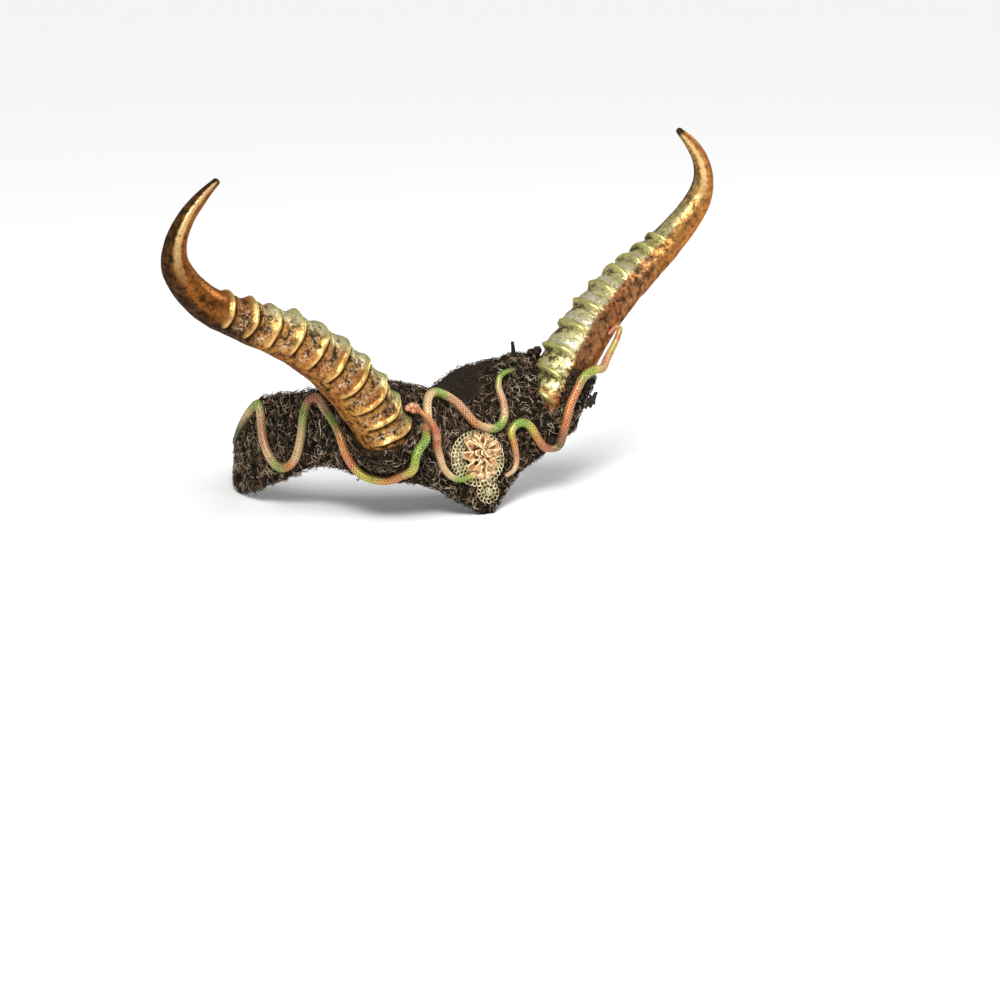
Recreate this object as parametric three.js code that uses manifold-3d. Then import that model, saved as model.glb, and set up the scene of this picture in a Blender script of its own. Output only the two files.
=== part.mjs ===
// Horned headpiece: a fibre-covered band with two ridged horns, three snakes and a pierced medallion.
// Millimetres, +Z up. The wearer faces -Y and the wearer's left is +X. The band rests on z = 0.
import * as THREE from 'three';
import { mergeVertices } from 'three/addons/utils/BufferGeometryUtils.js';
import Module from 'manifold-3d';

// Head opening and band wall
const GAP = 0.3;
const HEAD_HALF_WIDTH = 78.5;
const HEAD_HALF_DEPTH = 98.5;
const BAND_WALL = 4.5;
const SIDE_LEAN = 0.06;
const FRONT_LEAN = 0.27;
const BACK_LEAN = 0.12;

// Band sections: angle from the front, lower and upper edge heights, how much higher the upper edge is on
// the wearer's left, and how far the pad under a horn swells out from the wall
const BAND_SECTIONS = [
  { angle: 0, lower: 0, upper: 64, rise: 0, swell: 0 },
  { angle: 2, lower: 0, upper: 64.5, rise: 1.5, swell: 0 },
  { angle: 5, lower: 2.5, upper: 67, rise: 3, swell: 0 },
  { angle: 10, lower: 7.5, upper: 70.5, rise: 4, swell: 1 },
  { angle: 15, lower: 13, upper: 73.5, rise: 4.5, swell: 3.5 },
  { angle: 20, lower: 18.5, upper: 76, rise: 4, swell: 9 },
  { angle: 28, lower: 24, upper: 79, rise: 2, swell: 20 },
  { angle: 36, lower: 26, upper: 81, rise: 0, swell: 27 },
  { angle: 44, lower: 27, upper: 81, rise: 0, swell: 24 },
  { angle: 52, lower: 29, upper: 80, rise: 0, swell: 15 },
  { angle: 62, lower: 32, upper: 78, rise: 0, swell: 5 },
  { angle: 70, lower: 30, upper: 75, rise: 0, swell: 0 },
  { angle: 80, lower: 23, upper: 72, rise: 0, swell: 0 },
  { angle: 92, lower: 15, upper: 67.5, rise: 0, swell: 0 },
  { angle: 102, lower: 8, upper: 62, rise: 0, swell: 0 },
  { angle: 113, lower: 3, upper: 48, rise: 0, swell: 0 },
  { angle: 128, lower: 0, upper: 33, rise: 0, swell: 0 },
  { angle: 148, lower: 0, upper: 29, rise: 0, swell: 0 },
  { angle: 180, lower: 0, upper: 28, rise: 0, swell: 0 },
];

// Band columns by angle, closest together at the pointed front, and the heights of its rows
const BAND_COLUMNS = [
  { from: 2, to: 12, step: 3 },
  { from: 12, to: 72, step: 4 },
  { from: 72, to: 180, step: 9 },
];
const BAND_OUTER_ROWS = [0, 0.1, 0.2, 0.4, 0.55, 0.7, 0.85, 1];
const BAND_INNER_ROWS = [1, 0.6, 0.3, 0];

// Share of the swell at each fraction of the band's height
const SWELL_PROFILE = [
  { height: 0, share: 0.45 },
  { height: 0.2, share: 0.75 },
  { height: 0.4, share: 1 },
  { height: 0.7, share: 0.9 },
  { height: 1, share: 0.5 },
];

// Horn axis of the wearer's left horn, with the horn's diameter at each point
const HORN_AXIS = [
  { x: 60.8, y: -85, z: 44, diameter: 30 },
  { x: 63, y: -85.4, z: 54, diameter: 32.6 },
  { x: 77.8, y: -85.4, z: 78.3, diameter: 34 },
  { x: 98.9, y: -84, z: 100.3, diameter: 31.5 },
  { x: 123.2, y: -81.1, z: 117.6, diameter: 28.5 },
  { x: 149.9, y: -75.8, z: 130.1, diameter: 25 },
  { x: 176.4, y: -71.8, z: 143.4, diameter: 20.4 },
  { x: 196.8, y: -75.2, z: 164.6, diameter: 17 },
  { x: 199.5, y: -78.6, z: 178.8, diameter: 12.6 },
  { x: 194.4, y: -81.3, z: 192.4, diameter: 9.8 },
  { x: 184.6, y: -83, z: 203.6, diameter: 7.6 },
  { x: 172.9, y: -84, z: 213, diameter: 3.6 },
];
const HORN_SIDES = 16;
const HORN_SMOOTH_STEP = 8;
const HORN_CURVE_DIVISIONS = 20;

// Rings on each horn: a raised rim with a crease on its root side, strongest towards the inner front.
// The stations are the distances of the rims along the axis
const RING_STATIONS = [13, 26, 40, 56, 72, 87.5, 102.5, 117, 131.5, 146.5];
const RING_HEIGHT = 1.5;
const RING_CREASE_OFFSET = -2.8;
const RING_SLOPE_OFFSET = 5.5;
const RING_STRONG_SIDE = 40;
const RING_WEAKEST = 0.3;

// Collars of fibre round the horns: distance along the axis of the rim, by the angle round the horn,
// 0 at the front and positive towards the middle of the head
const COLLAR_RIM_LEFT = [
  { angle: -180, along: 40 },
  { angle: -60, along: 42 },
  { angle: 0, along: 36 },
  { angle: 30, along: 6 },
  { angle: 60, along: 12 },
  { angle: 90, along: 24 },
  { angle: 120, along: 33 },
  { angle: 180, along: 40 },
];
const COLLAR_RIM_RIGHT = [
  { angle: -180, along: 46 },
  { angle: -126, along: 32 },
  { angle: -90, along: 12 },
  { angle: -30, along: 7 },
  { angle: 50, along: 12 },
  { angle: 85, along: 34 },
  { angle: 126, along: 46 },
  { angle: 180, along: 46 },
];
const COLLAR_STEPS = 4;
const COLLAR_WALL = 3;
const COLLAR_RIM_WALL = 2.2;

// The closed bottom of a collar below the horn's root: distance below the root and radius
const COLLAR_BOTTOM = [
  { below: 8, radius: 7 },
  { below: 6, radius: 12.5 },
  { below: 2, radius: 16 },
];

// Snakes laid on the band and up the left horn. A row is a place on the band by wall angle and height, or
// on the left horn by distance along it and angle round it; lift is the extra height over what lies below
const SNAKE_RADIUS = 2.6;
const SNAKE_SIDES = 8;
const SNAKE_STEP = 6;
const SNAKE_CLEARANCE = 0.6;

// A snake's foot is probed at a few places round it, from outside the band towards the wall
const PROBE_ANGLE = 1.6;
const PROBE_HEIGHT = 2.4;
const PROBE_START = 90;

const SNAKE_RIGHT = [
  { angle: -122, z: 31 },
  { angle: -113, z: 43 },
  { angle: -104.5, z: 54.5 },
  { angle: -97.5, z: 61.5 },
  { angle: -95.8, z: 56 },
  { angle: -95.2, z: 50 },
  { angle: -93.8, z: 40.5 },
  { angle: -89.5, z: 31 },
  { angle: -84.4, z: 26.5 },
  { angle: -79.4, z: 29.5 },
  { angle: -76.8, z: 35 },
  { angle: -74.6, z: 47 },
  { angle: -73, z: 62 },
  { angle: -70.5, z: 69.5 },
  { angle: -66.5, z: 71.5 },
  { angle: -61.5, z: 66 },
  { angle: -56.5, z: 60 },
  { angle: -53, z: 52 },
  { angle: -51.8, z: 45 },
  { angle: -50, z: 37.5 },
  { angle: -47, z: 31.5 },
  { angle: -43, z: 28.8 },
  { angle: -38.5, z: 28.6 },
  { angle: -34.8, z: 32 },
  { angle: -32, z: 38.5 },
  { angle: -30.3, z: 45.5 },
  { angle: -28, z: 51 },
  { angle: -25.8, z: 55.5 },
  { angle: -24.4, z: 61 },
  { angle: -23.4, z: 68 },
  { angle: -21.5, z: 72.4 },
  { angle: -18.6, z: 73.6 },
  { angle: -15, z: 72.2 },
  { angle: -11.2, z: 69.4 },
  { angle: -7.6, z: 65.6 },
  { angle: -4.2, z: 60 },
  { angle: -0.3, z: 53 },
  { angle: 4.5, z: 49.2 },
  { angle: 9.5, z: 47.6 },
  { angle: 13.5, z: 49.5 },
  { angle: 15.8, z: 54.5 },
  { angle: 16.6, z: 62 },
  { angle: 16.2, z: 70 },
  { angle: 17.5, z: 75.5 },
  { angle: 20, z: 78 },
  { angle: 24.5, z: 79 },
];
const SNAKE_CENTRE = [
  { angle: -30.6, z: 70.5 },
  { angle: -29.3, z: 66 },
  { angle: -27.6, z: 60.5, lift: 3.2 },
  { angle: -26, z: 55.8, lift: 6.8 },
  { angle: -24.4, z: 50.6, lift: 4.6 },
  { angle: -22.4, z: 44.5 },
  { angle: -21.2, z: 39, lift: -0.7 },
  { angle: -19.8, z: 32, lift: -0.7 },
  { angle: -17.8, z: 26.5, lift: 0.8 },
  { angle: -14.5, z: 23, lift: 1.6 },
  { angle: -11.5, z: 22.2, lift: 1.6 },
];
const SNAKE_LEFT = [
  { angle: 11, z: 19.3 },
  { angle: 15.8, z: 22.8 },
  { angle: 17.2, z: 28.2 },
  { angle: 17.1, z: 37 },
  { angle: 17, z: 44 },
  { angle: 19.2, z: 48.4 },
  { angle: 21.7, z: 49 },
  { angle: 23.2, z: 46.3 },
  { angle: 25.3, z: 39.5 },
  { angle: 28.5, z: 34.5 },
  { angle: 31.5, z: 33 },
  { angle: 34, z: 36.5 },
  { along: 3, around: 10, lift: 2.4 },
  { along: 13, around: 8, lift: 1.3 },
  { along: 23, around: 7, lift: 1.2 },
  { along: 32, around: 5, lift: 1.2 },
  { along: 39, around: -8, lift: 1.5 },
  { along: 44, around: -24, lift: 1.5 },
  { along: 52, around: -31, lift: 0.2 },
  { along: 60, around: -31, lift: 0 },
  { along: 68, around: -29, lift: 0 },
];

// Radius of a snake, as a share of its full radius, by distance from an end
const SNAKE_TAIL = [
  { from: 0, share: 0.4 },
  { from: 12, share: 0.66 },
  { from: 40, share: 1 },
];
const SNAKE_HEAD = [
  { from: 0, share: 0.6 },
  { from: 2.5, share: 1.2 },
  { from: 5.5, share: 1.3 },
  { from: 10, share: 0.8 },
  { from: 16, share: 0.95 },
  { from: 24, share: 1 },
];

// Medallion on the front: a pierced plate with a drop below it, and a rosette of curled petals on the plate
const MEDALLION_X = -2;
const MEDALLION_Z = 32.5;
const PLATE_STANDOFF = 1.1;
const PLATE_THICKNESS = 1.5;
const PLATE_DISC = {
  halfWidth: 20,
  halfHeight: 16.5,
  scallops: 16,
  holes: 12,
  holeRadius: 1.7,
  holeRing: 0.8,
};
const PLATE_DROP = {
  halfWidth: 8.5,
  halfHeight: 7,
  scallops: 8,
  holes: 6,
  holeRadius: 1.3,
  holeRing: 0.64,
};
const DROP_X = 3;
const DROP_Y = -20.6;
const SCALLOP_DEPTH = 0.06;
const SCALLOP_POINTS = 3;
const HOLE_SEGMENTS = 6;
const ROSETTE_BASE_RADIUS = 10;
const ROSETTE_BASE_HEIGHT = 1.8;
const ROSETTE_BASE_SIDES = 16;
const PETAL_SIDES = 7;
const PETAL_ROWS = 5;
const PETAL_RINGS = [
  { count: 9, ring: 9.4, height: 2.8, long: 4.6, wide: 3.8, thick: 2.7 },
  { count: 6, ring: 5, height: 4.8, long: 3.6, wide: 3.1, thick: 2.5 },
  { count: 1, ring: 0, height: 6.6, long: 3.1, wide: 3.1, thick: 2.4 },
];

// Finishes
const FIBRE = { color: 0x2b2019, roughness: 1, metalness: 0 };
const ANTIQUE_GOLD = { color: 0x8c6a2a, roughness: 0.42, metalness: 0.8 };
const SNAKE_SKIN = { color: 0xb07a55, roughness: 0.6, metalness: 0.1 };
const PALE_GOLD = { color: 0xc7b27c, roughness: 0.4, metalness: 0.8 };
const ROSE_GOLD = { color: 0xc98f62, roughness: 0.4, metalness: 0.7 };

const wasm = await Module();
wasm.setup();

const radians = THREE.MathUtils.degToRad;

// Linear look-up of one column in a table whose rows are in order of the key column
function lookUp(table, key, column, value) {
  const last = table.length - 1;
  for (let i = 0; i < last; i++) {
    const from = table[i];
    const to = table[i + 1];
    if (value <= to[key]) {
      const share = Math.max(0, (value - from[key]) / (to[key] - from[key]));
      return THREE.MathUtils.lerp(from[column], to[column], share);
    }
  }
  return table[last][column];
}

// Smooth look-up of one column: a monotone cubic through the rows
function smoothLookUp(table, key, column, value) {
  const last = table.length - 1;
  let i = 0;
  while (i < last - 1 && value > table[i + 1][key]) {
    i++;
  }
  const slope = (k) => {
    if (k < 0 || k >= last) {
      return 0;
    }
    return (table[k + 1][column] - table[k][column]) / (table[k + 1][key] - table[k][key]);
  };
  const tangent = (k) => {
    const before = slope(k - 1);
    const after = slope(k);
    return before * after <= 0 ? 0 : (2 * before * after) / (before + after);
  };
  const span = table[i + 1][key] - table[i][key];
  const t = THREE.MathUtils.clamp((value - table[i][key]) / span, 0, 1);
  const from = table[i][column];
  const to = table[i + 1][column];
  const rise = to - from;
  const a = tangent(i) * span;
  const b = tangent(i + 1) * span;
  return from + a * t + (3 * rise - 2 * a - b) * t * t + (a + b - 2 * rise) * t * t * t;
}

// A closed solid through rings of equal size, with a fan on each end
function loft(rings) {
  const sides = rings[0].length;
  const positions = [];
  const triangles = [];
  for (const ring of rings) {
    for (const point of ring) {
      positions.push(point.x, point.y, point.z);
    }
  }
  for (let i = 0; i + 1 < rings.length; i++) {
    for (let j = 0; j < sides; j++) {
      const a = i * sides + j;
      const b = i * sides + (j + 1) % sides;
      triangles.push(a, b, b + sides, a, b + sides, a + sides);
    }
  }
  for (const [ring, flip] of [[0, true], [rings.length - 1, false]]) {
    const centre = new THREE.Vector3();
    for (const point of rings[ring]) {
      centre.addScaledVector(point, 1 / sides);
    }
    const middle = positions.length / 3;
    positions.push(centre.x, centre.y, centre.z);
    for (let j = 0; j < sides; j++) {
      const a = ring * sides + j;
      const b = ring * sides + (j + 1) % sides;
      triangles.push(middle, flip ? b : a, flip ? a : b);
    }
  }
  return facingOut(positions, triangles);
}

// A geometry whose triangles are turned so that its volume is positive
function facingOut(positions, triangles) {
  const corner = (i) => new THREE.Vector3().fromArray(positions, 3 * i);
  let volume = 0;
  for (let i = 0; i < triangles.length; i += 3) {
    const cross = corner(triangles[i + 1]).cross(corner(triangles[i + 2]));
    volume += corner(triangles[i]).dot(cross);
  }
  if (volume < 0) {
    triangles.reverse();
  }
  const geometry = new THREE.BufferGeometry();
  geometry.setAttribute('position', new THREE.Float32BufferAttribute(positions, 3));
  geometry.setIndex(triangles);
  return geometry;
}

// The mirror image of a geometry in the middle plane x = 0
function mirrored(geometry) {
  const positions = Array.from(geometry.getAttribute('position').array);
  for (let i = 0; i < positions.length; i += 3) {
    positions[i] = -positions[i];
  }
  return facingOut(positions, Array.from(geometry.getIndex().array));
}

// Geometry to solid and back, for joining and cutting
function toSolid(geometry) {
  const bare = geometry.clone();
  bare.deleteAttribute('normal');
  bare.deleteAttribute('uv');
  const merged = mergeVertices(bare);
  return new wasm.Manifold(new wasm.Mesh({
    numProp: 3,
    vertProperties: new Float32Array(merged.getAttribute('position').array),
    triVerts: new Uint32Array(merged.getIndex().array),
  }));
}

function toGeometry(solid) {
  const mesh = solid.getMesh();
  const geometry = new THREE.BufferGeometry();
  geometry.setAttribute('position', new THREE.Float32BufferAttribute(mesh.vertProperties, 3));
  geometry.setIndex(Array.from(mesh.triVerts));
  return geometry;
}

function piece(name, geometry, finish) {
  geometry.computeVertexNormals();
  const mesh = new THREE.Mesh(geometry, new THREE.MeshStandardMaterial(finish));
  mesh.name = name;
  return mesh;
}

// A point on the leaning head wall, pushed out along the wall's normal; positive angles go to the left
function wallPoint(angle, z, out) {
  const turn = radians(angle);
  const forward = Math.cos(turn) > 0;
  const width = HEAD_HALF_WIDTH - SIDE_LEAN * z;
  const depth = HEAD_HALF_DEPTH - (forward ? FRONT_LEAN : BACK_LEAN) * z * Math.abs(Math.cos(turn));
  const point = new THREE.Vector3(width * Math.sin(turn), -depth * Math.cos(turn), z);
  const normal = new THREE.Vector3(point.x / width ** 2, point.y / depth ** 2, 0).normalize();
  return point.addScaledVector(normal, out);
}

// The angles of the band's columns, all the way round
function bandAngles() {
  const half = [];
  for (const { from, to, step } of BAND_COLUMNS) {
    for (let angle = from; angle < to; angle += step) {
      half.push(angle);
    }
  }
  const left = half.map((angle) => -angle).reverse();
  return [...left, 0, ...half, 180];
}

// The band: one closed wall, swollen into a pad under each horn
function bandGeometry() {
  const columns = bandAngles().map((angle) => {
    const bearing = Math.abs(angle);
    const lower = smoothLookUp(BAND_SECTIONS, 'angle', 'lower', bearing);
    const rise = angle > 0 ? smoothLookUp(BAND_SECTIONS, 'angle', 'rise', bearing) : 0;
    const upper = smoothLookUp(BAND_SECTIONS, 'angle', 'upper', bearing) + rise;
    const swell = smoothLookUp(BAND_SECTIONS, 'angle', 'swell', bearing);
    const outer = BAND_OUTER_ROWS.map((height) => {
      const share = smoothLookUp(SWELL_PROFILE, 'height', 'share', height);
      return wallPoint(angle, THREE.MathUtils.lerp(lower, upper, height), BAND_WALL + swell * share);
    });
    const inner = BAND_INNER_ROWS.map((height) => {
      return wallPoint(angle, THREE.MathUtils.lerp(lower, upper, height), 0);
    });
    return [...outer, ...inner];
  });
  const rows = columns[0].length;
  const positions = columns.flat().flatMap((point) => point.toArray());
  const triangles = [];
  for (let i = 0; i < columns.length; i++) {
    for (let j = 0; j < rows; j++) {
      const a = i * rows + j;
      const b = i * rows + (j + 1) % rows;
      const c = ((i + 1) % columns.length) * rows + (j + 1) % rows;
      const d = ((i + 1) % columns.length) * rows + j;
      triangles.push(a, b, c, a, c, d);
    }
  }
  return facingOut(positions, triangles);
}

// The left horn's axis as a curve by length, with a frame whose first axis faces the front
const hornPoints = HORN_AXIS.map(({ x, y, z }) => new THREE.Vector3(x, y, z));
const hornCurve = new THREE.CatmullRomCurve3(hornPoints);
const hornLength = hornCurve.getLength();
const hornLengths = hornCurve.getLengths(HORN_CURVE_DIVISIONS * (HORN_AXIS.length - 1));
const hornSizes = HORN_AXIS.map(({ diameter }, i) => {
  return { along: hornLengths[HORN_CURVE_DIVISIONS * i], diameter };
});

function hornFrame(along) {
  const share = THREE.MathUtils.clamp(along / hornLength, 0, 1);
  const tangent = hornCurve.getTangentAt(share);
  const centre = hornCurve.getPointAt(share).addScaledVector(tangent, Math.min(along, 0));
  const front = new THREE.Vector3(0, -1, 0);
  front.addScaledVector(tangent, -front.dot(tangent)).normalize();
  const inner = new THREE.Vector3().crossVectors(front, tangent);
  return { centre, front, inner };
}

// A point at a distance from the horn's axis; the angle is 0 at the front, positive towards the middle
function roundHorn(along, angle, radius) {
  const { centre, front, inner } = hornFrame(along);
  centre.addScaledVector(front, radius * Math.cos(radians(angle)));
  return centre.addScaledVector(inner, radius * Math.sin(radians(angle)));
}

function hornRadius(along) {
  return smoothLookUp(hornSizes, 'along', 'diameter', along) / 2;
}

// Where the horn has a section, and how far the ring's relief stands out there
function hornSections() {
  const sections = [{ along: 0, relief: 0 }];
  for (const rim of RING_STATIONS) {
    sections.push({ along: rim + RING_CREASE_OFFSET, relief: -RING_HEIGHT });
    sections.push({ along: rim, relief: RING_HEIGHT });
    sections.push({ along: rim + RING_SLOPE_OFFSET, relief: 0 });
  }
  const smoothStart = sections[sections.length - 1].along;
  const steps = Math.round((hornLength - smoothStart) / HORN_SMOOTH_STEP);
  for (let i = 1; i <= steps; i++) {
    sections.push({ along: THREE.MathUtils.lerp(smoothStart, hornLength, i / steps), relief: 0 });
  }
  return sections;
}

function hornGeometry(grow) {
  const rings = hornSections().map(({ along, relief }) => {
    const ring = [];
    for (let i = 0; i < HORN_SIDES; i++) {
      const angle = (360 * i) / HORN_SIDES;
      const facing = Math.max(0, Math.cos(radians(angle - RING_STRONG_SIDE)));
      const strength = THREE.MathUtils.lerp(RING_WEAKEST, 1, facing);
      ring.push(roundHorn(along, angle, hornRadius(along) + relief * strength + grow));
    }
    return ring;
  });
  if (grow > 0) {
    const down = hornCurve.getTangentAt(0).multiplyScalar(-grow);
    rings[0].forEach((point) => point.add(down));
  }
  return loft(rings);
}

// A collar of fibre: a cup round the horn's root, up to the rim given by its table
function collarGeometry(rimTable) {
  const ringAt = (place) => {
    const ring = [];
    for (let i = 0; i < HORN_SIDES; i++) {
      const angle = (360 * i) / HORN_SIDES;
      const signed = angle > 180 ? angle - 360 : angle;
      ring.push(place(angle, smoothLookUp(rimTable, 'angle', 'along', signed)));
    }
    return ring;
  };
  const rings = COLLAR_BOTTOM.map(({ below, radius }) => {
    return ringAt((angle) => roundHorn(-below, angle, radius));
  });
  for (let step = 0; step <= COLLAR_STEPS; step++) {
    const share = step / COLLAR_STEPS;
    const wall = THREE.MathUtils.lerp(COLLAR_WALL, COLLAR_RIM_WALL, share);
    rings.push(ringAt((angle, rim) => roundHorn(rim * share, angle, hornRadius(rim * share) + wall)));
  }
  rings.push(ringAt((angle, rim) => roundHorn(rim, angle, hornRadius(rim) / 2)));
  return loft(rings);
}

// The tube of a snake: its route over the band and the horn, as a loft whose radius follows the end tables
function snakeGeometry(route, bandMesh, startTable, endTable) {
  const points = route.map((row) => {
    const lift = row.lift ?? 0;
    return row.angle === undefined ? onHorn(row, lift) : onBand(bandMesh, row, lift);
  });
  const curve = new THREE.CatmullRomCurve3(points, false, 'centripetal');
  const length = curve.getLength();
  const steps = Math.round(length / SNAKE_STEP);
  const frames = curve.computeFrenetFrames(steps, false);
  const rings = [];
  for (let i = 0; i <= steps; i++) {
    const along = (length * i) / steps;
    const startShare = lookUp(startTable, 'from', 'share', along);
    const endShare = lookUp(endTable, 'from', 'share', length - along);
    const radius = SNAKE_RADIUS * Math.min(startShare, endShare === 1 ? startShare : endShare);
    const centre = curve.getPointAt(i / steps);
    const ring = [];
    for (let j = 0; j < SNAKE_SIDES; j++) {
      const turn = radians((360 * j) / SNAKE_SIDES);
      const point = centre.clone().addScaledVector(frames.normals[i], radius * Math.cos(turn));
      ring.push(point.addScaledVector(frames.binormals[i], radius * Math.sin(turn)));
    }
    rings.push(ring);
  }
  return loft(rings);
}

// A snake's centre on the outside of the band, clear of the highest of the probed places
function onBand(bandMesh, { angle, z }, lift) {
  const raycaster = new THREE.Raycaster();
  const probe = (turn, height) => {
    const origin = wallPoint(turn, height, PROBE_START);
    const direction = wallPoint(turn, height, 0).sub(origin).normalize();
    raycaster.set(origin, direction);
    return raycaster.intersectObject(bandMesh)[0];
  };
  const hits = [];
  for (const turn of [0, -PROBE_ANGLE, PROBE_ANGLE]) {
    for (const rise of [0, -PROBE_HEIGHT, PROBE_HEIGHT]) {
      const hit = probe(angle + turn, z + rise);
      if (hit && hit.distance < PROBE_START) {
        hits.push(hit);
      }
    }
  }
  const normal = new THREE.Vector3();
  for (const hit of hits) {
    normal.add(hit.face.normal);
  }
  normal.normalize();
  const foot = hits[0].point;
  const highest = Math.max(...hits.map((hit) => hit.point.clone().sub(foot).dot(normal)));
  return foot.clone().addScaledVector(normal, highest + SNAKE_RADIUS + SNAKE_CLEARANCE + lift);
}

// A snake's centre on the left horn
function onHorn({ along, around }, lift) {
  const radius = hornRadius(along) + RING_HEIGHT + SNAKE_RADIUS + SNAKE_CLEARANCE + lift;
  return roundHorn(along, around, radius);
}

// An ellipse with a scalloped edge and a ring of round holes
function piercedShape({ halfWidth, halfHeight, scallops, holes, holeRadius, holeRing }) {
  const outline = [];
  for (let i = 0; i < scallops * SCALLOP_POINTS; i++) {
    const turn = (2 * Math.PI * i) / (scallops * SCALLOP_POINTS);
    const swing = 1 - SCALLOP_DEPTH * (1 - Math.abs(Math.sin((turn * scallops) / 2)));
    const x = halfWidth * swing * Math.cos(turn);
    const y = halfHeight * swing * Math.sin(turn);
    outline.push(new THREE.Vector2(x, y));
  }
  const shape = new THREE.Shape(outline);
  for (let i = 0; i < holes; i++) {
    const turn = (2 * Math.PI * (i + 0.5)) / holes;
    const hole = new THREE.Path();
    const x = halfWidth * holeRing * Math.cos(turn);
    const y = halfHeight * holeRing * Math.sin(turn);
    hole.absarc(x, y, holeRadius, 0, 2 * Math.PI, true);
    shape.holes.push(hole);
  }
  return shape;
}

function plateGeometry() {
  const extrusion = { depth: PLATE_THICKNESS, bevelEnabled: false, curveSegments: HOLE_SEGMENTS };
  const disc = new THREE.ExtrudeGeometry(piercedShape(PLATE_DISC), extrusion);
  const drop = new THREE.ExtrudeGeometry(piercedShape(PLATE_DROP), extrusion);
  drop.translate(DROP_X, DROP_Y, 0);
  return toGeometry(toSolid(disc).add(toSolid(drop)));
}

function rosetteGeometry() {
  const base = new THREE.CylinderGeometry(
    ROSETTE_BASE_RADIUS,
    ROSETTE_BASE_RADIUS,
    ROSETTE_BASE_HEIGHT,
    ROSETTE_BASE_SIDES,
  );
  base.rotateX(Math.PI / 2);
  base.translate(0, 0, ROSETTE_BASE_HEIGHT / 2);
  let solid = toSolid(base);
  PETAL_RINGS.forEach(({ count, ring, height, long, wide, thick }, layer) => {
    for (let i = 0; i < count; i++) {
      const petal = new THREE.SphereGeometry(1, PETAL_SIDES, PETAL_ROWS);
      petal.scale(long, wide, thick);
      petal.translate(ring, 0, height);
      petal.rotateZ((2 * Math.PI * (i + layer / 2)) / count);
      solid = solid.add(toSolid(petal));
    }
  });
  return toGeometry(solid);
}

const leftHorn = hornGeometry(0);
const leftSocket = hornGeometry(GAP);
const base = toSolid(bandGeometry())
  .add(toSolid(collarGeometry(COLLAR_RIM_LEFT)))
  .add(toSolid(mirrored(collarGeometry(COLLAR_RIM_RIGHT))))
  .subtract(toSolid(leftSocket))
  .subtract(toSolid(mirrored(leftSocket)));

const headpiece = new THREE.Group();
const bandMesh = piece('base_band', toGeometry(base), FIBRE);
headpiece.add(bandMesh);
headpiece.add(piece('horn_left', leftHorn, ANTIQUE_GOLD));
headpiece.add(piece('horn_right', mirrored(leftHorn), ANTIQUE_GOLD));

const snakes = [
  { name: 'snake_right', route: SNAKE_RIGHT, start: SNAKE_TAIL, end: SNAKE_TAIL },
  { name: 'snake_centre', route: SNAKE_CENTRE, start: SNAKE_HEAD, end: SNAKE_TAIL },
  { name: 'snake_left', route: SNAKE_LEFT, start: SNAKE_TAIL, end: SNAKE_TAIL },
];
for (const { name, route, start, end } of snakes) {
  headpiece.add(piece(name, snakeGeometry(route, bandMesh, start, end), SNAKE_SKIN));
}

// The medallion leans with the front wall; its own z axis points away from the band
const medallion = new THREE.Group();
medallion.position.copy(wallPoint(0, MEDALLION_Z, BAND_WALL));
medallion.position.x = MEDALLION_X;
medallion.rotation.x = Math.PI / 2 - Math.atan(FRONT_LEAN);
const plate = piece('filigree_plate', plateGeometry(), PALE_GOLD);
plate.position.z = PLATE_STANDOFF;
const rosette = piece('rosette', rosetteGeometry(), ROSE_GOLD);
rosette.position.z = PLATE_STANDOFF + PLATE_THICKNESS + GAP;
medallion.add(plate, rosette);
headpiece.add(medallion);

export default headpiece;
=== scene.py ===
# Horned headpiece: a band of matted fibre, two ridged gold horns, three painted snakes and a filigree
# medallion. Metres, +Z up. The front faces -Y, the left side is +X, and the band rests on z = 0.
import math

import bpy
import numpy as np
from mathutils import Matrix, Vector, noise
from mathutils.bvhtree import BVHTree


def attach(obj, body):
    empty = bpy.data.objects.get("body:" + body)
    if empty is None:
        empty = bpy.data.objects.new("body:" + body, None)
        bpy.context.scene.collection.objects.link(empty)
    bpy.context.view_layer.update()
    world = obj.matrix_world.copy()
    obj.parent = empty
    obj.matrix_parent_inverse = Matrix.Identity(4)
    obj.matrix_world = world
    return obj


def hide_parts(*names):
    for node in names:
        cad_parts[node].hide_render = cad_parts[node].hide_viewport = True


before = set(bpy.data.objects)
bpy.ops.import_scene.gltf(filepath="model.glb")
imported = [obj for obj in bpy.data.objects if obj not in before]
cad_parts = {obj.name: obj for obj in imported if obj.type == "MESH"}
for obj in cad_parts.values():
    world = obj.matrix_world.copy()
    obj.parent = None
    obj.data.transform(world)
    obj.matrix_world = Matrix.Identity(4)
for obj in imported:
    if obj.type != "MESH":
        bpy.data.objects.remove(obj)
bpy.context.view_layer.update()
MM = 0.001

# Camera
# It stands at the right front and a little above the band, with a long lens. Its aim is given as the way
# across and up from the origin to the picture's middle.
CAMERA_BEARING = math.radians(-39.83)
CAMERA_ELEVATION = math.radians(12.39)
CAMERA_ROLL = math.radians(-1.04)
CAMERA_DISTANCE = 2.0
CAMERA_AIM_ACROSS = 72.91 * MM
CAMERA_AIM_UP = -7.47 * MM
CAMERA_LENS = 116.64
CAMERA_SENSOR = 36.0

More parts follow.
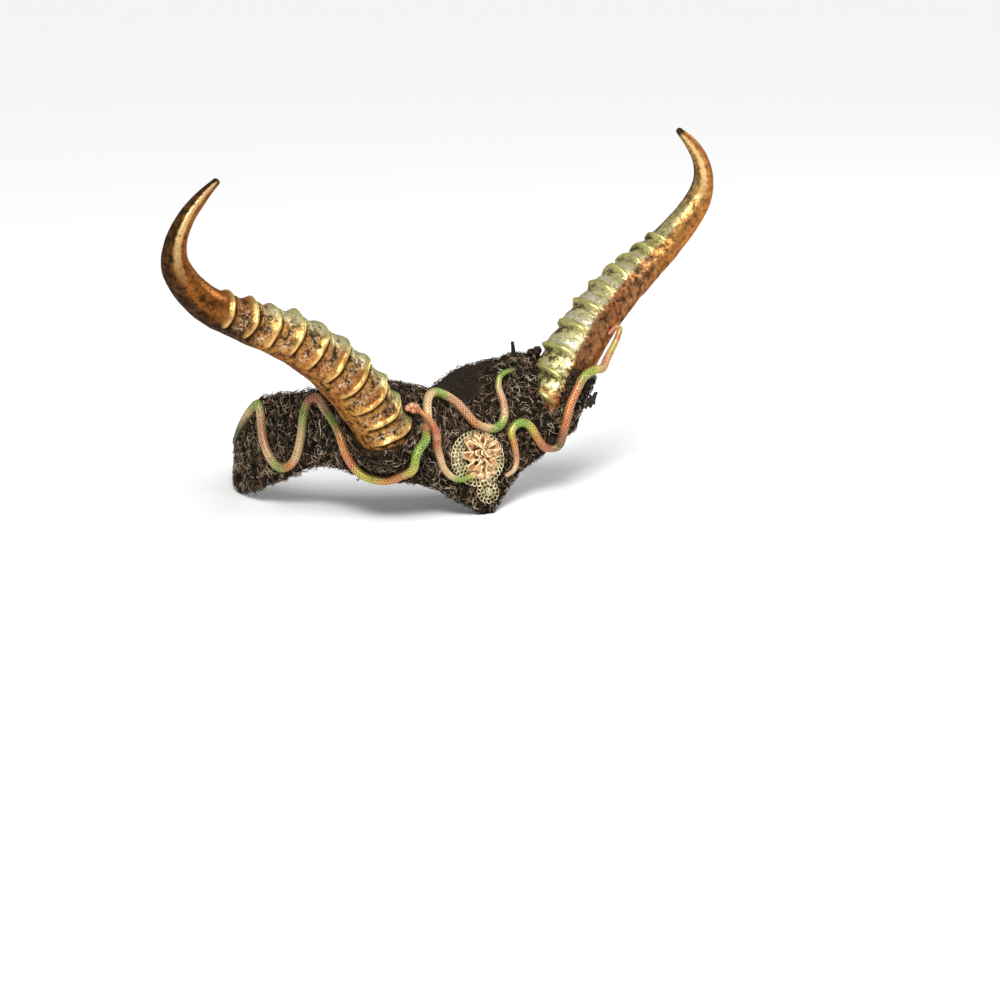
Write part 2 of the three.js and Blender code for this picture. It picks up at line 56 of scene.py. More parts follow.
level = Vector((math.cos(CAMERA_BEARING), math.sin(CAMERA_BEARING), 0))
away = Vector((-level.y, level.x, 0))
back = Vector((0, 0, math.sin(CAMERA_ELEVATION))) - away * math.cos(CAMERA_ELEVATION)
upright = back.cross(level)
across = level * math.cos(CAMERA_ROLL) + upright * math.sin(CAMERA_ROLL)
up = upright * math.cos(CAMERA_ROLL) - level * math.sin(CAMERA_ROLL)
eye = across * CAMERA_AIM_ACROSS + up * CAMERA_AIM_UP + back * CAMERA_DISTANCE
camera_data = bpy.data.cameras.new("camera")
camera_data.lens = CAMERA_LENS
camera_data.sensor_width = CAMERA_SENSOR
camera = bpy.data.objects.new("camera", camera_data)
camera.matrix_world = Matrix.Translation(eye) @ Matrix((across, up, back)).transposed().to_4x4()
bpy.context.scene.collection.objects.link(camera)
bpy.context.scene.camera = camera

# Matted base
# The stiff band with a pad under each horn and a collar round each root, covered in felted dark fibre.
# It is one form, grown from the band's solid, lumpy outside and plain felt inside the opening.
OPENING_HALF_WIDTH = 78.5 * MM
OPENING_HALF_DEPTH = 98.5 * MM
SIDE_LEAN = 0.06
FRONT_LEAN = 0.27
BACK_LEAN = 0.12
WELD_REACH = 0.005 * MM
MAT_VOXEL = 1.4 * MM
MAT_SMOOTHING = 8
MAT_LUMP_HEIGHT = 1.3 * MM
MAT_LUMP_SIZE = 9 * MM
MAT_CRUMB_HEIGHT = 0.5 * MM
MAT_CRUMB_SIZE = 2.6 * MM
RAGGED_HEIGHT = 3.4 * MM
RAGGED_SIZE = 5.5 * MM
RAGGED_SHIFT = 3.0
RAGGED_LEFT = (2 * MM, 12 * MM)
RAGGED_TOP = (62 * MM, 74 * MM)
LINING_DEPTH = (1.0 * MM, 2.6 * MM)
SOCKET_CLEARANCE = 1.3 * MM
EDGE_HEIGHT = 5 * MM


class Value:
    # A node's output that can be used in plain sums; each sum adds a Math node to the same sheet
    def __init__(self, sheet, socket):
        self.sheet = sheet
        self.socket = socket

    def __add__(self, other):
        return self.sheet.math("ADD", self, other)

    def __radd__(self, other):
        return self.sheet.math("ADD", other, self)

    def __sub__(self, other):
        return self.sheet.math("SUBTRACT", self, other)

    def __rsub__(self, other):
        return self.sheet.math("SUBTRACT", other, self)

    def __mul__(self, other):
        return self.sheet.math("MULTIPLY", self, other)

    def __rmul__(self, other):
        return self.sheet.math("MULTIPLY", other, self)

    def __pow__(self, other):
        return self.sheet.math("POWER", self, other)


class Sheet:
    # A node tree that is written down as calls: node() adds any node, with its settings and its sockets
    def __init__(self, tree):
        self.tree = tree

    def node(self, kind, settings=(), sockets=(), output=None):
        made = self.tree.nodes.new(kind)
        for name, setting in dict(settings).items():
            if name == "stops":
                self.fill_ramp(made.color_ramp, setting)
            else:
                setattr(made, name, setting)
        for name, given in dict(sockets).items():
            socket = self.find(made.inputs, name)
            if isinstance(given, Value):
                self.tree.links.new(given.socket, socket)
            else:
                socket.default_value = given
        if not made.outputs:
            return None
        return Value(self, self.find(made.outputs, output))

    def find(self, sockets, name):
        usable = [socket for socket in sockets if socket.enabled]
        if isinstance(name, int):
            return usable[name]
        return next(socket for socket in usable if name is None or socket.name == name)

    def fill_ramp(self, ramp, stops):
        while len(ramp.elements) < len(stops):
            ramp.elements.new(1)
        for element, (place, colour) in zip(ramp.elements, stops):
            element.position = place
            element.color = (*colour, 1)

    def math(self, operation, *values):
        return self.node("ShaderNodeMath", {"operation": operation}, dict(enumerate(values)))

    def vector(self, x, y, z=0.0):
        return self.node("ShaderNodeCombineXYZ", {}, {"X": x, "Y": y, "Z": z})

    def moved(self, shape, place):
        return self.node("GeometryNodeSetPosition", {}, {"Geometry": shape, "Position": place})

    def clamp(self, value):
        return self.node("ShaderNodeMath", {"operation": "ADD", "use_clamp": True}, {0: value, 1: 0.0})

    def rise(self, value, low, high):
        sockets = {"Value": value, "From Min": low, "From Max": high}
        return self.node("ShaderNodeMapRange", {"interpolation_type": "SMOOTHSTEP"}, sockets)

    def blend(self, share, first, second):
        sockets = {"Factor": share, "A": self.colour(first), "B": self.colour(second)}
        return self.node("ShaderNodeMix", {"data_type": "RGBA"}, sockets)

    def colour(self, given):
        return given if isinstance(given, Value) else (*given, 1)

    def painted(self, name, output="Fac"):
        return self.node("ShaderNodeAttribute", {"attribute_name": name}, output=output)

    def cloud(self, size, detail=3.0, roughness=0.55, twist=0.0):
        place = self.node("ShaderNodeTexCoord", output="Object")
        return self.node("ShaderNodeTexNoise", {}, {
            "Vector": place, "Scale": 1 / size, "Detail": detail,
            "Roughness": roughness, "Distortion": twist,
        })

    def curls(self, size, width):
        # Thin curled lines, where a twisted cloud passes through its middle value
        return self.rise(self.math("ABSOLUTE", self.cloud(size, 1.0, 0.5, 1.6) - 0.5), width, 0.0)

    def bump(self, height, strength, distance):
        sockets = {"Height": height, "Strength": strength, "Distance": distance}
        return self.node("ShaderNodeBump", {}, sockets)


def new_finish(name):
    material = bpy.data.materials.new(name)
    material.use_nodes = True
    material.node_tree.nodes.clear()
    return material, Sheet(material.node_tree)


def close_finish(sheet, sockets):
    surface = sheet.node("ShaderNodeBsdfPrincipled", {}, sockets)
    sheet.node("ShaderNodeOutputMaterial", {}, {"Surface": surface})


def paint(red, green, blue):
    # A colour as a painter's chart gives it, from 0 to 255, in the linear light that a shader works in
    return tuple(((level / 255 + 0.055) / 1.055) ** 2.4 for level in (red, green, blue))


def felt_finish():
    material, sheet = new_finish("felted_fibre")
    patches = sheet.cloud(11 * MM, 4)
    brown_curls = sheet.curls(3.1 * MM, 0.05)
    tan_curls = sheet.curls(2.4 * MM, 0.04)
    pink_curls = sheet.curls(4.3 * MM, 0.03)
    threads = brown_curls + tan_curls + pink_curls
    dark = sheet.blend(sheet.rise(patches, 0.42, 0.66), paint(11, 11, 9), paint(24, 20, 15))
    worn = sheet.blend(brown_curls, dark, paint(62, 48, 38))
    worn = sheet.blend(tan_curls * sheet.rise(patches, 0.38, 0.6), worn, paint(116, 92, 72))
    worn = sheet.blend(pink_curls * sheet.rise(patches, 0.6, 0.4), worn, paint(124, 90, 76))
    lining = sheet.blend(brown_curls * 0.7, paint(42, 36, 30), paint(80, 68, 56))
    colour = sheet.blend(sheet.painted("lining"), worn, lining)
    close_finish(sheet, {
        "Base Color": colour,
        "Roughness": 0.92,
        "Specular IOR Level": 0.06,
        "Normal": sheet.bump(threads, 0.5, 0.6 * MM),
    })
    return material


def add_piece(name, mesh):
    piece = bpy.data.objects.new(name, mesh)
    bpy.context.scene.collection.objects.link(piece)
    return piece


def make_plain(piece):
    # Puts the evaluated shape in place of the piece's mesh, with no modifier left
    shaped = piece.evaluated_get(bpy.context.evaluated_depsgraph_get())
    mesh = bpy.data.meshes.new_from_object(shaped)
    piece.modifiers.clear()
    piece.data = mesh


def points_of(mesh):
    points = np.zeros(len(mesh.vertices) * 3)
    mesh.vertices.foreach_get("co", points)
    return points.reshape(-1, 3)


def put_points(mesh, points):
    mesh.vertices.foreach_set("co", np.ascontiguousarray(points, dtype=np.float32).ravel())
    mesh.update()


def normals_of(mesh):
    normals = np.zeros(len(mesh.vertices) * 3)
    mesh.vertex_normals.foreach_get("vector", normals)
    return normals.reshape(-1, 3)


def put_values(mesh, name, values):
    attribute = mesh.attributes.new(name, "FLOAT", "POINT")
    attribute.data.foreach_set("value", np.ascontiguousarray(values, dtype=np.float32))


def cloud_at(points, size, offset=0.0):
    # Even noise from -1 to 1 at each point, with features of the given size
    shift = Vector((offset, offset, offset))
    return np.array([noise.noise(Vector(point) / size + shift) for point in points])


def ease(values, low, high):
    share = np.clip((values - low) / (high - low), 0, 1)
    return share * share * (3 - 2 * share)


def beyond_wall(points):
    # How far out from the leaning wall of the opening each point lies
    x, y, z = points.T
    facing = np.clip(-y / OPENING_HALF_DEPTH, -1, 1)
    lean = np.where(facing > 0, FRONT_LEAN, BACK_LEAN)
    width = OPENING_HALF_WIDTH - SIDE_LEAN * z
    depth = OPENING_HALF_DEPTH - lean * z * np.abs(facing)
    return (np.hypot(x / width, y / depth) - 1) * (width + depth) / 2


def solid_tree(node):
    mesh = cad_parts[node].data
    faces = [tuple(face.vertices) for face in mesh.polygons]
    return BVHTree.FromPolygons([corner.co for corner in mesh.vertices], faces)


def distance_to(tree, points):
    return np.array([tree.find_nearest(Vector(point))[3] for point in points])


base = add_piece("matted_base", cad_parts["base_band"].data.copy())
weld = base.modifiers.new("weld", "WELD")
weld.merge_threshold = WELD_REACH
grow = base.modifiers.new("grow", "REMESH")
grow.mode = "VOXEL"
grow.voxel_size = MAT_VOXEL
soften = base.modifiers.new("soften", "SMOOTH")
soften.iterations = MAT_SMOOTHING
make_plain(base)

mat_points = points_of(base.data)
mat_out = normals_of(base.data)
outside = ease(beyond_wall(mat_points), *LINING_DEPTH)
horn_trees = [solid_tree("horn_left"), solid_tree("horn_right")]
to_horn = np.minimum(*[distance_to(tree, mat_points) for tree in horn_trees])
bare = outside * ease(to_horn, SOCKET_CLEARANCE, 2 * SOCKET_CLEARANCE)
lumps = MAT_LUMP_HEIGHT * cloud_at(mat_points, MAT_LUMP_SIZE)
crumbs = MAT_CRUMB_HEIGHT * cloud_at(mat_points, MAT_CRUMB_SIZE)
ragged = ease(mat_points[:, 0], *RAGGED_LEFT) * ease(mat_points[:, 2], *RAGGED_TOP)
clumps = ragged * RAGGED_HEIGHT * np.abs(cloud_at(mat_points, RAGGED_SIZE, RAGGED_SHIFT))
lift = bare * ease(mat_points[:, 2], 0, EDGE_HEIGHT) * (lumps + crumbs + clumps)
put_points(base.data, mat_points + mat_out * lift[:, None])
put_values(base.data, "lining", 1 - outside)
base.data.materials.clear()
felt = felt_finish()
base.data.materials.append(felt)
base.data.shade_smooth()
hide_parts("base_band")
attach(base, "root")

# Loose fibre
# Short curled strands of moss-like fibre, glued all over the outside of the band and dry-brushed with
# tan, pink and pale gold. Each layer is scattered over the base, thinner where the medallion sits.
STRAND_POINTS = 8
STRAND_SIDES = 3
STRAND_FREEDOM = 0.3
STRAND_LENGTHS = (0.55, 1.35)
STRAND_TAPER = 0.75
CURL_SCALE = 330.0
CURL_SPREAD = 90
FLOOR_CLEARANCE = 0.4 * MM
MEDALLION_MIDDLE = Vector((-2 * MM, -94.2 * MM, 32.5 * MM))
MEDALLION_REACH = 12.5 * MM
MEDALLION_FADE = (0.7 * MEDALLION_REACH, 1.2 * MEDALLION_REACH)
MEDALLION_SHAG = 0.25
UNDERSIDE = (0.4, 0.8)
FIBRE_LAYERS = [
    {
        "name": "fibre_undercoat", "Density": 112000, "Length": 11 * MM, "Radius": 0.26 * MM,
        "Curl": 5 * MM, "Lift": 1.0 * MM, "Seed": 3,
        "tones": [
            (0, paint(6, 7, 5)), (0.5, paint(14, 14, 10)), (0.8, paint(12, 20, 11)), (1, paint(28, 22, 16)),
        ],
    },
    {
        "name": "fibre_brown", "Density": 130000, "Length": 10 * MM, "Radius": 0.22 * MM,
        "Curl": 5.5 * MM, "Lift": 1.5 * MM, "Seed": 7,
        "tones": [
            (0, paint(11, 11, 8)), (0.5, paint(30, 23, 17)), (0.8, paint(20, 28, 14)),
            (1, paint(60, 43, 32)),
        ],
    },
    {
        "name": "fibre_tan", "Density": 130000, "Length": 6 * MM, "Radius": 0.165 * MM,
        "Curl": 5.5 * MM, "Lift": 1.9 * MM, "Seed": 11,
        "tones": [
            (0, paint(80, 62, 48)), (0.5, paint(126, 103, 81)), (0.8, paint(120, 88, 70)),
            (1, paint(170, 146, 118)),
        ],
    },
    {
        "name": "fibre_gold", "Density": 62000, "Length": 4.6 * MM, "Radius": 0.15 * MM,
        "Curl": 5 * MM, "Lift": 2.1 * MM, "Seed": 17,
        "tones": [(0, paint(154, 132, 98)), (0.5, paint(196, 176, 142)), (1, paint(214, 200, 176))],
    },
]


def open_tree(name, given):
    # A Geometry Nodes tree with its named inputs, and a function that looks one of them up
    tree = bpy.data.node_groups.new(name, "GeometryNodeTree")
    for label, kind in given.items():
        tree.interface.new_socket(name=label, in_out="INPUT", socket_type="NodeSocket" + kind)
    tree.interface.new_socket(name="Shape", in_out="OUTPUT", socket_type="NodeSocketGeometry")
    sheet = Sheet(tree)
    inputs = tree.nodes.new("NodeGroupInput")
    return tree, sheet, lambda label: Value(sheet, inputs.outputs[label])


def close_tree(sheet, shape, material):
    shape = sheet.node("GeometryNodeSetShadeSmooth", {}, {"Geometry": shape})
    shape = sheet.node("GeometryNodeSetMaterial", {}, {"Geometry": shape, "Material": material})
    sheet.node("NodeGroupOutput", {}, {"Shape": shape})


def grown(name, host, tree, values):
    # A new piece that the tree makes from a copy of the host mesh
    piece = add_piece(name, host.copy())
    modifier = piece.modifiers.new("grow", "NODES")
    modifier.node_group = tree
    for item in tree.interface.items_tree:
        if item.name in values:
            modifier[item.identifier] = values[item.name]
    make_plain(piece)
    return piece


def strand_tree():
    tree, sheet, given = open_tree("strands", {
        "Mat": "Geometry", "Density": "Float", "Length": "Float", "Radius": "Float", "Curl": "Float",
        "Curl Size": "Float", "Lift": "Float", "Floor": "Float", "Seed": "Int", "Material": "Material",
    })

    def chance(low, high, seed):
        sockets = {"Min": low, "Max": high, "Seed": given("Seed") + seed}
        return sheet.node("FunctionNodeRandomValue", {"data_type": "FLOAT"}, sockets)

    def keep(points, name, value, kind):
        settings = {"data_type": kind, "domain": "POINT"}
        return sheet.node("GeometryNodeStoreNamedAttribute", settings, {
            "Geometry": points, "Name": name, "Value": value,
        })

    def recall(name, kind):
        return sheet.node("GeometryNodeInputNamedAttribute", {"data_type": kind}, {"Name": name})

    def times(vector, size):
        settings = {"operation": "SCALE"}
        return sheet.node("ShaderNodeVectorMath", settings, {"Vector": vector, "Scale": size})

    def plus(first, second, operation="ADD"):
        return sheet.node("ShaderNodeVectorMath", {"operation": operation}, {0: first, 1: second})

    scatter = sheet.tree.nodes.new("GeometryNodeDistributePointsOnFaces")
    sheet.tree.links.new(given("Mat").socket, scatter.inputs["Mesh"])
    sheet.tree.links.new((given("Density") * recall("shag", "FLOAT")).socket, scatter.inputs["Density"])
    sheet.tree.links.new(given("Seed").socket, scatter.inputs["Seed"])
    roots = Value(sheet, scatter.outputs["Points"])
    facing = Value(sheet, scatter.outputs["Normal"])
    turned = Value(sheet, scatter.outputs["Rotation"])
    roots = keep(roots, "facing", facing, "FLOAT_VECTOR")
    roots = keep(roots, "tone", chance(0.0, 1.0, 1), "FLOAT")
    roots = keep(roots, "stray", chance(0.0, 1.0, 2), "FLOAT")
    line = sheet.node("GeometryNodeCurvePrimitiveLine", {}, {"End": (1, 0, 0)})
    line = sheet.node("GeometryNodeResampleCurve", {}, {"Curve": line, "Count": STRAND_POINTS})
    spin = sheet.node("FunctionNodeAxisAngleToRotation", {}, {"Angle": chance(0.0, math.tau, 3)})
    spin = sheet.node("FunctionNodeRotateRotation", {"rotation_space": "LOCAL"}, {
        "Rotation": turned, "Rotate By": spin,
    })
    strands = sheet.node("GeometryNodeInstanceOnPoints", {}, {
        "Points": roots, "Instance": line, "Rotation": spin,
        "Scale": given("Length") * chance(*STRAND_LENGTHS, 4),
    })
    strands = sheet.node("GeometryNodeRealizeInstances", {}, {"Geometry": strands})
    along = sheet.node("GeometryNodeSplineParameter", output="Factor")
    place = sheet.node("GeometryNodeInputPosition")
    stray = recall("stray", "FLOAT")
    wander = sheet.node("ShaderNodeTexNoise", {"noise_dimensions": "4D"}, {
        "Vector": place, "W": stray * CURL_SPREAD, "Scale": given("Curl Size"), "Detail": 1.0,
    }, "Color")
    wander = plus(wander, (0.5, 0.5, 0.5), "SUBTRACT")
    wander = times(wander, given("Curl") * 2 * along ** 0.6)
    strands = sheet.node("GeometryNodeSetPosition", {}, {"Geometry": strands, "Offset": wander})
    nearest = sheet.node("GeometryNodeProximity", {"target_element": "FACES"}, {
        0: given("Mat"),
    }, "Position")
    free = plus(sheet.node("GeometryNodeInputPosition"), nearest, "SUBTRACT")
    arch = given("Lift") * (0.2 + along * (1 - along) * 2.4 + along * along * stray ** 4)
    settled = plus(nearest, times(free, STRAND_FREEDOM))
    strands = sheet.moved(strands, plus(settled, times(recall("facing", "FLOAT_VECTOR"), arch)))
    split = sheet.tree.nodes.new("ShaderNodeSeparateXYZ")
    sheet.tree.links.new(sheet.node("GeometryNodeInputPosition").socket, split.inputs[0])
    x, y, z = [Value(sheet, socket) for socket in split.outputs]
    strands = sheet.moved(strands, sheet.vector(x, y, sheet.math("MAXIMUM", z, given("Floor"))))
    taper = 1 - STRAND_TAPER * along ** 3
    section = sheet.node("GeometryNodeCurvePrimitiveCircle", {}, {
        "Resolution": STRAND_SIDES, "Radius": 1.0,
    })
    strands = sheet.node("GeometryNodeCurveToMesh", {}, {
        "Curve": strands, "Profile Curve": section,
        "Scale": given("Radius") * taper * (0.7 + 0.6 * recall("tone", "FLOAT")),
    })
    close_tree(sheet, strands, given("Material"))
    return tree


def strand_finish(name, tones):
    material, sheet = new_finish(name)
    tone = sheet.painted("tone")
    colour = sheet.node("ShaderNodeValToRGB", {"stops": tones}, {"Fac": tone})
    close_finish(sheet, {
        "Base Color": colour,
        "Roughness": 0.7 - 0.2 * tone,
        "Specular IOR Level": 0.1,
    })
    return material


mat_points = points_of(base.data)
mat_out = normals_of(base.data)
to_medallion = np.linalg.norm(mat_points - np.array(MEDALLION_MIDDLE), axis=1)
clear_of_medallion = MEDALLION_SHAG + (1 - MEDALLION_SHAG) * ease(to_medallion, *MEDALLION_FADE)
clear_of_floor = 1 - ease(-mat_out[:, 2], *UNDERSIDE) * (1 - ease(mat_points[:, 2], 0, EDGE_HEIGHT))
put_values(base.data, "shag", bare * clear_of_medallion * clear_of_floor)
strands_tree = strand_tree()
for layer in FIBRE_LAYERS:
    values = {name: value for name, value in layer.items() if name not in ("name", "tones")}
    values["Curl Size"] = CURL_SCALE
    values["Floor"] = FLOOR_CLEARANCE
    values["Material"] = strand_finish(layer["name"], layer["tones"])
    strands = grown(layer["name"], base.data, strands_tree, values)
    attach(strands, "root")

# Horns
# A mirrored pair of cast resin horns, painted antique gold. Ten raised rims run round the lower half, each
# with a crease and a mottled hollow on its root side, darkened by antique paint and by painted shade;
# one side of each horn has painted shade too. The upper half is smooth and streaked, with a painted
# highlight.
HORN_AXIS = [
    (60.8, -85, 44, 30), (63, -85.4, 54, 32.6), (77.8, -85.4, 78.3, 34), (98.9, -84, 100.3, 31.5),
    (123.2, -81.1, 117.6, 28.5), (149.9, -75.8, 130.1, 25), (176.4, -71.8, 143.4, 20.4),
    (196.8, -75.2, 164.6, 17), (199.5, -78.6, 178.8, 12.6), (194.4, -81.3, 192.4, 9.8),
    (184.6, -83, 203.6, 7.6), (172.9, -84, 213, 3.6),
]
RIM_STATIONS = [13, 26, 40, 56, 72, 87.5, 102.5, 117, 131.5, 146.5]
RIM_HEIGHT = 2.0
RIM_SWEEP = 2.2
RIM_WAVER = 0.5
RIM_WAVES = 3
RIM_WEAR = (0.85, 0.6)
RIM_WEAR_SIZE = 6.0
RIM_WEAR_SHIFT = 9.0
CREASE_BEHIND = 2.6
CREASE_DEPTH = 1.3
CREASE_WIDTH = 1.2
HOLLOW_DEPTH = 1.1
HORN_STEP = 0.8
HORN_SIDES = 72
TIP_ROUNDING = 1.8
RADIUS_BLUR = 25
PIT_HEIGHT = 0.22
PIT_SIZE = 2.6
DENT_HEIGHT = 0.4
DENT_SIZE = 9.0
DENT_SHIFT = 5.0
SLIMMEST = 0.25
CURVE_STEPS = 24
EDGE_TINT = paint(196, 164, 118)


def curve_through(points):
    # A smooth open curve through the points, finely divided, with the length from its start to each place
    points = np.asarray(points, float)
    ends = [2 * points[0] - points[1], *points, 2 * points[-1] - points[-2]]
    share = np.linspace(0, 1, CURVE_STEPS, endpoint=False)[:, None]
    stretches = []
    for before, start, stop, after in zip(ends, ends[1:], ends[2:], ends[3:]):
        lead, span, trail = [
            math.sqrt(np.linalg.norm(gap)) for gap in (start - before, stop - start, after - stop)
        ]
        leave = ((start - before) / lead - (stop - before) / (lead + span) + (stop - start) / span) * span
        arrive = ((stop - start) / span - (after - start) / (span + trail) + (after - stop) / trail) * span
        bend = 3 * (stop - start) - 2 * leave - arrive
        twist = leave + arrive - 2 * (stop - start)
        stretches.append(start + share * (leave + share * (bend + share * twist)))
    line = np.vstack([*stretches, points[-1:]])
    steps = np.linalg.norm(np.diff(line, axis=0), axis=1)
    return line, np.concatenate([[0], np.cumsum(steps)])


def along_curve(line, lengths, places):
    return np.stack([np.interp(places, lengths, column) for column in line.T], axis=-1)


def unit(vectors):
    return vectors / np.linalg.norm(vectors, axis=-1, keepdims=True)


def turns(count):
    # Even turns round a circle, in radians, starting at none
    return np.linspace(0, math.tau, count, endpoint=False)


def tube_faces(count, sides):
    # The faces of a closed tube: its rings' points come first, then a point in the middle of each end
    start = np.arange(count - 1)[:, None] * sides
    here = np.arange(sides)[None, :]
    after = (here + 1) % sides
    walls = np.stack([start + here, start + after, start + after + sides, start + here + sides], axis=-1)
    faces = walls.reshape(-1, 4).tolist()
    last = (count - 1) * sides
    for side in range(sides):
        following = (side + 1) % sides
        faces.append([count * sides, following, side])
        faces.append([count * sides + 1, last + side, last + following])
    return faces


def loft(name, rings, mirror=False):
    # A closed tube through rings of points, with a fan on each end
    points = np.vstack([rings.reshape(-1, 3), rings[0].mean(0), rings[-1].mean(0)])
    faces = tube_faces(*rings.shape[:2])
    if mirror:
        points = points * (-1, 1, 1)
        faces = [face[::-1] for face in faces]
    mesh = bpy.data.meshes.new(name)
    mesh.from_pydata(points.tolist(), [], faces)
    mesh.validate()
    mesh.shade_smooth()
    return mesh


def put_rings(mesh, name, values):
    # Values given ring by ring, with each end's fan taking its ring's mean
    put_values(mesh, name, np.concatenate([values.ravel(), [values[0].mean()], [values[-1].mean()]]))


def hump(values, width):
    return np.exp(-((values / width) ** 2))


horn_line, horn_lengths = curve_through([row[:3] for row in HORN_AXIS])
horn_length = horn_lengths[-1]
horn_along = np.linspace(0, horn_length, round(horn_length / HORN_STEP))
horn_middle = along_curve(horn_line, horn_lengths, horn_along)
horn_way = unit(np.gradient(horn_middle, axis=0))
horn_front = np.array([0, -1, 0]) - horn_way * (horn_way @ (0, -1, 0))[:, None]
horn_front = unit(horn_front)
horn_inner = np.cross(horn_front, horn_way)
row_lengths = horn_lengths[::CURVE_STEPS]
horn_radius = np.interp(horn_along, row_lengths, [row[3] / 2 for row in HORN_AXIS])
blur = np.hanning(RADIUS_BLUR)
padded = np.pad(horn_radius, len(blur) // 2, mode="edge")
horn_radius = np.convolve(padded, blur / blur.sum(), mode="valid")
horn_turn = -turns(HORN_SIDES)
rim_sweep = RIM_SWEEP * (1 - np.cos(horn_turn))
radial = horn_front[:, None, :] * np.cos(horn_turn)[None, :, None]
radial = radial + horn_inner[:, None, :] * np.sin(horn_turn)[None, :, None]
flat_wall = (horn_middle[:, None, :] + radial * horn_radius[:, None, None]).reshape(-1, 3)


def humps(behind, width):
    # One hump for each rim, set back by so much on the rim's root side
    total = np.zeros((len(horn_along), HORN_SIDES))
    for number, station in enumerate(RIM_STATIONS):
        waver = RIM_WAVER * np.sin(RIM_WAVES * horn_turn + number)
        past = horn_along[:, None] - station - rim_sweep[None, :] + waver[None, :]
        total += hump(past + behind, width)
    return total


creases = humps(CREASE_BEHIND, CREASE_WIDTH)
rim_wear = cloud_at(flat_wall, RIM_WEAR_SIZE, RIM_WEAR_SHIFT).reshape(creases.shape)
rim_wear = RIM_WEAR[0] + RIM_WEAR[1] * rim_wear
tip_share = np.clip((horn_along - horn_length + TIP_ROUNDING) / TIP_ROUNDING, 0, 0.999)
rounded = np.sqrt(1 - tip_share**2)
slimness = np.clip(horn_radius / horn_radius.max(), SLIMMEST, 1)[:, None]
pits = PIT_HEIGHT * cloud_at(flat_wall, PIT_SIZE)
pits = pits + DENT_HEIGHT * cloud_at(flat_wall, DENT_SIZE, DENT_SHIFT)
plain_radius = horn_radius[:, None] + slimness * pits.reshape(creases.shape)
inner_side = np.broadcast_to(np.sin(horn_turn)[None, :], creases.shape)
front_side = np.broadcast_to(np.cos(horn_turn)[None, :], creases.shape)
horn_share = np.broadcast_to((horn_along / horn_length)[:, None], creases.shape)


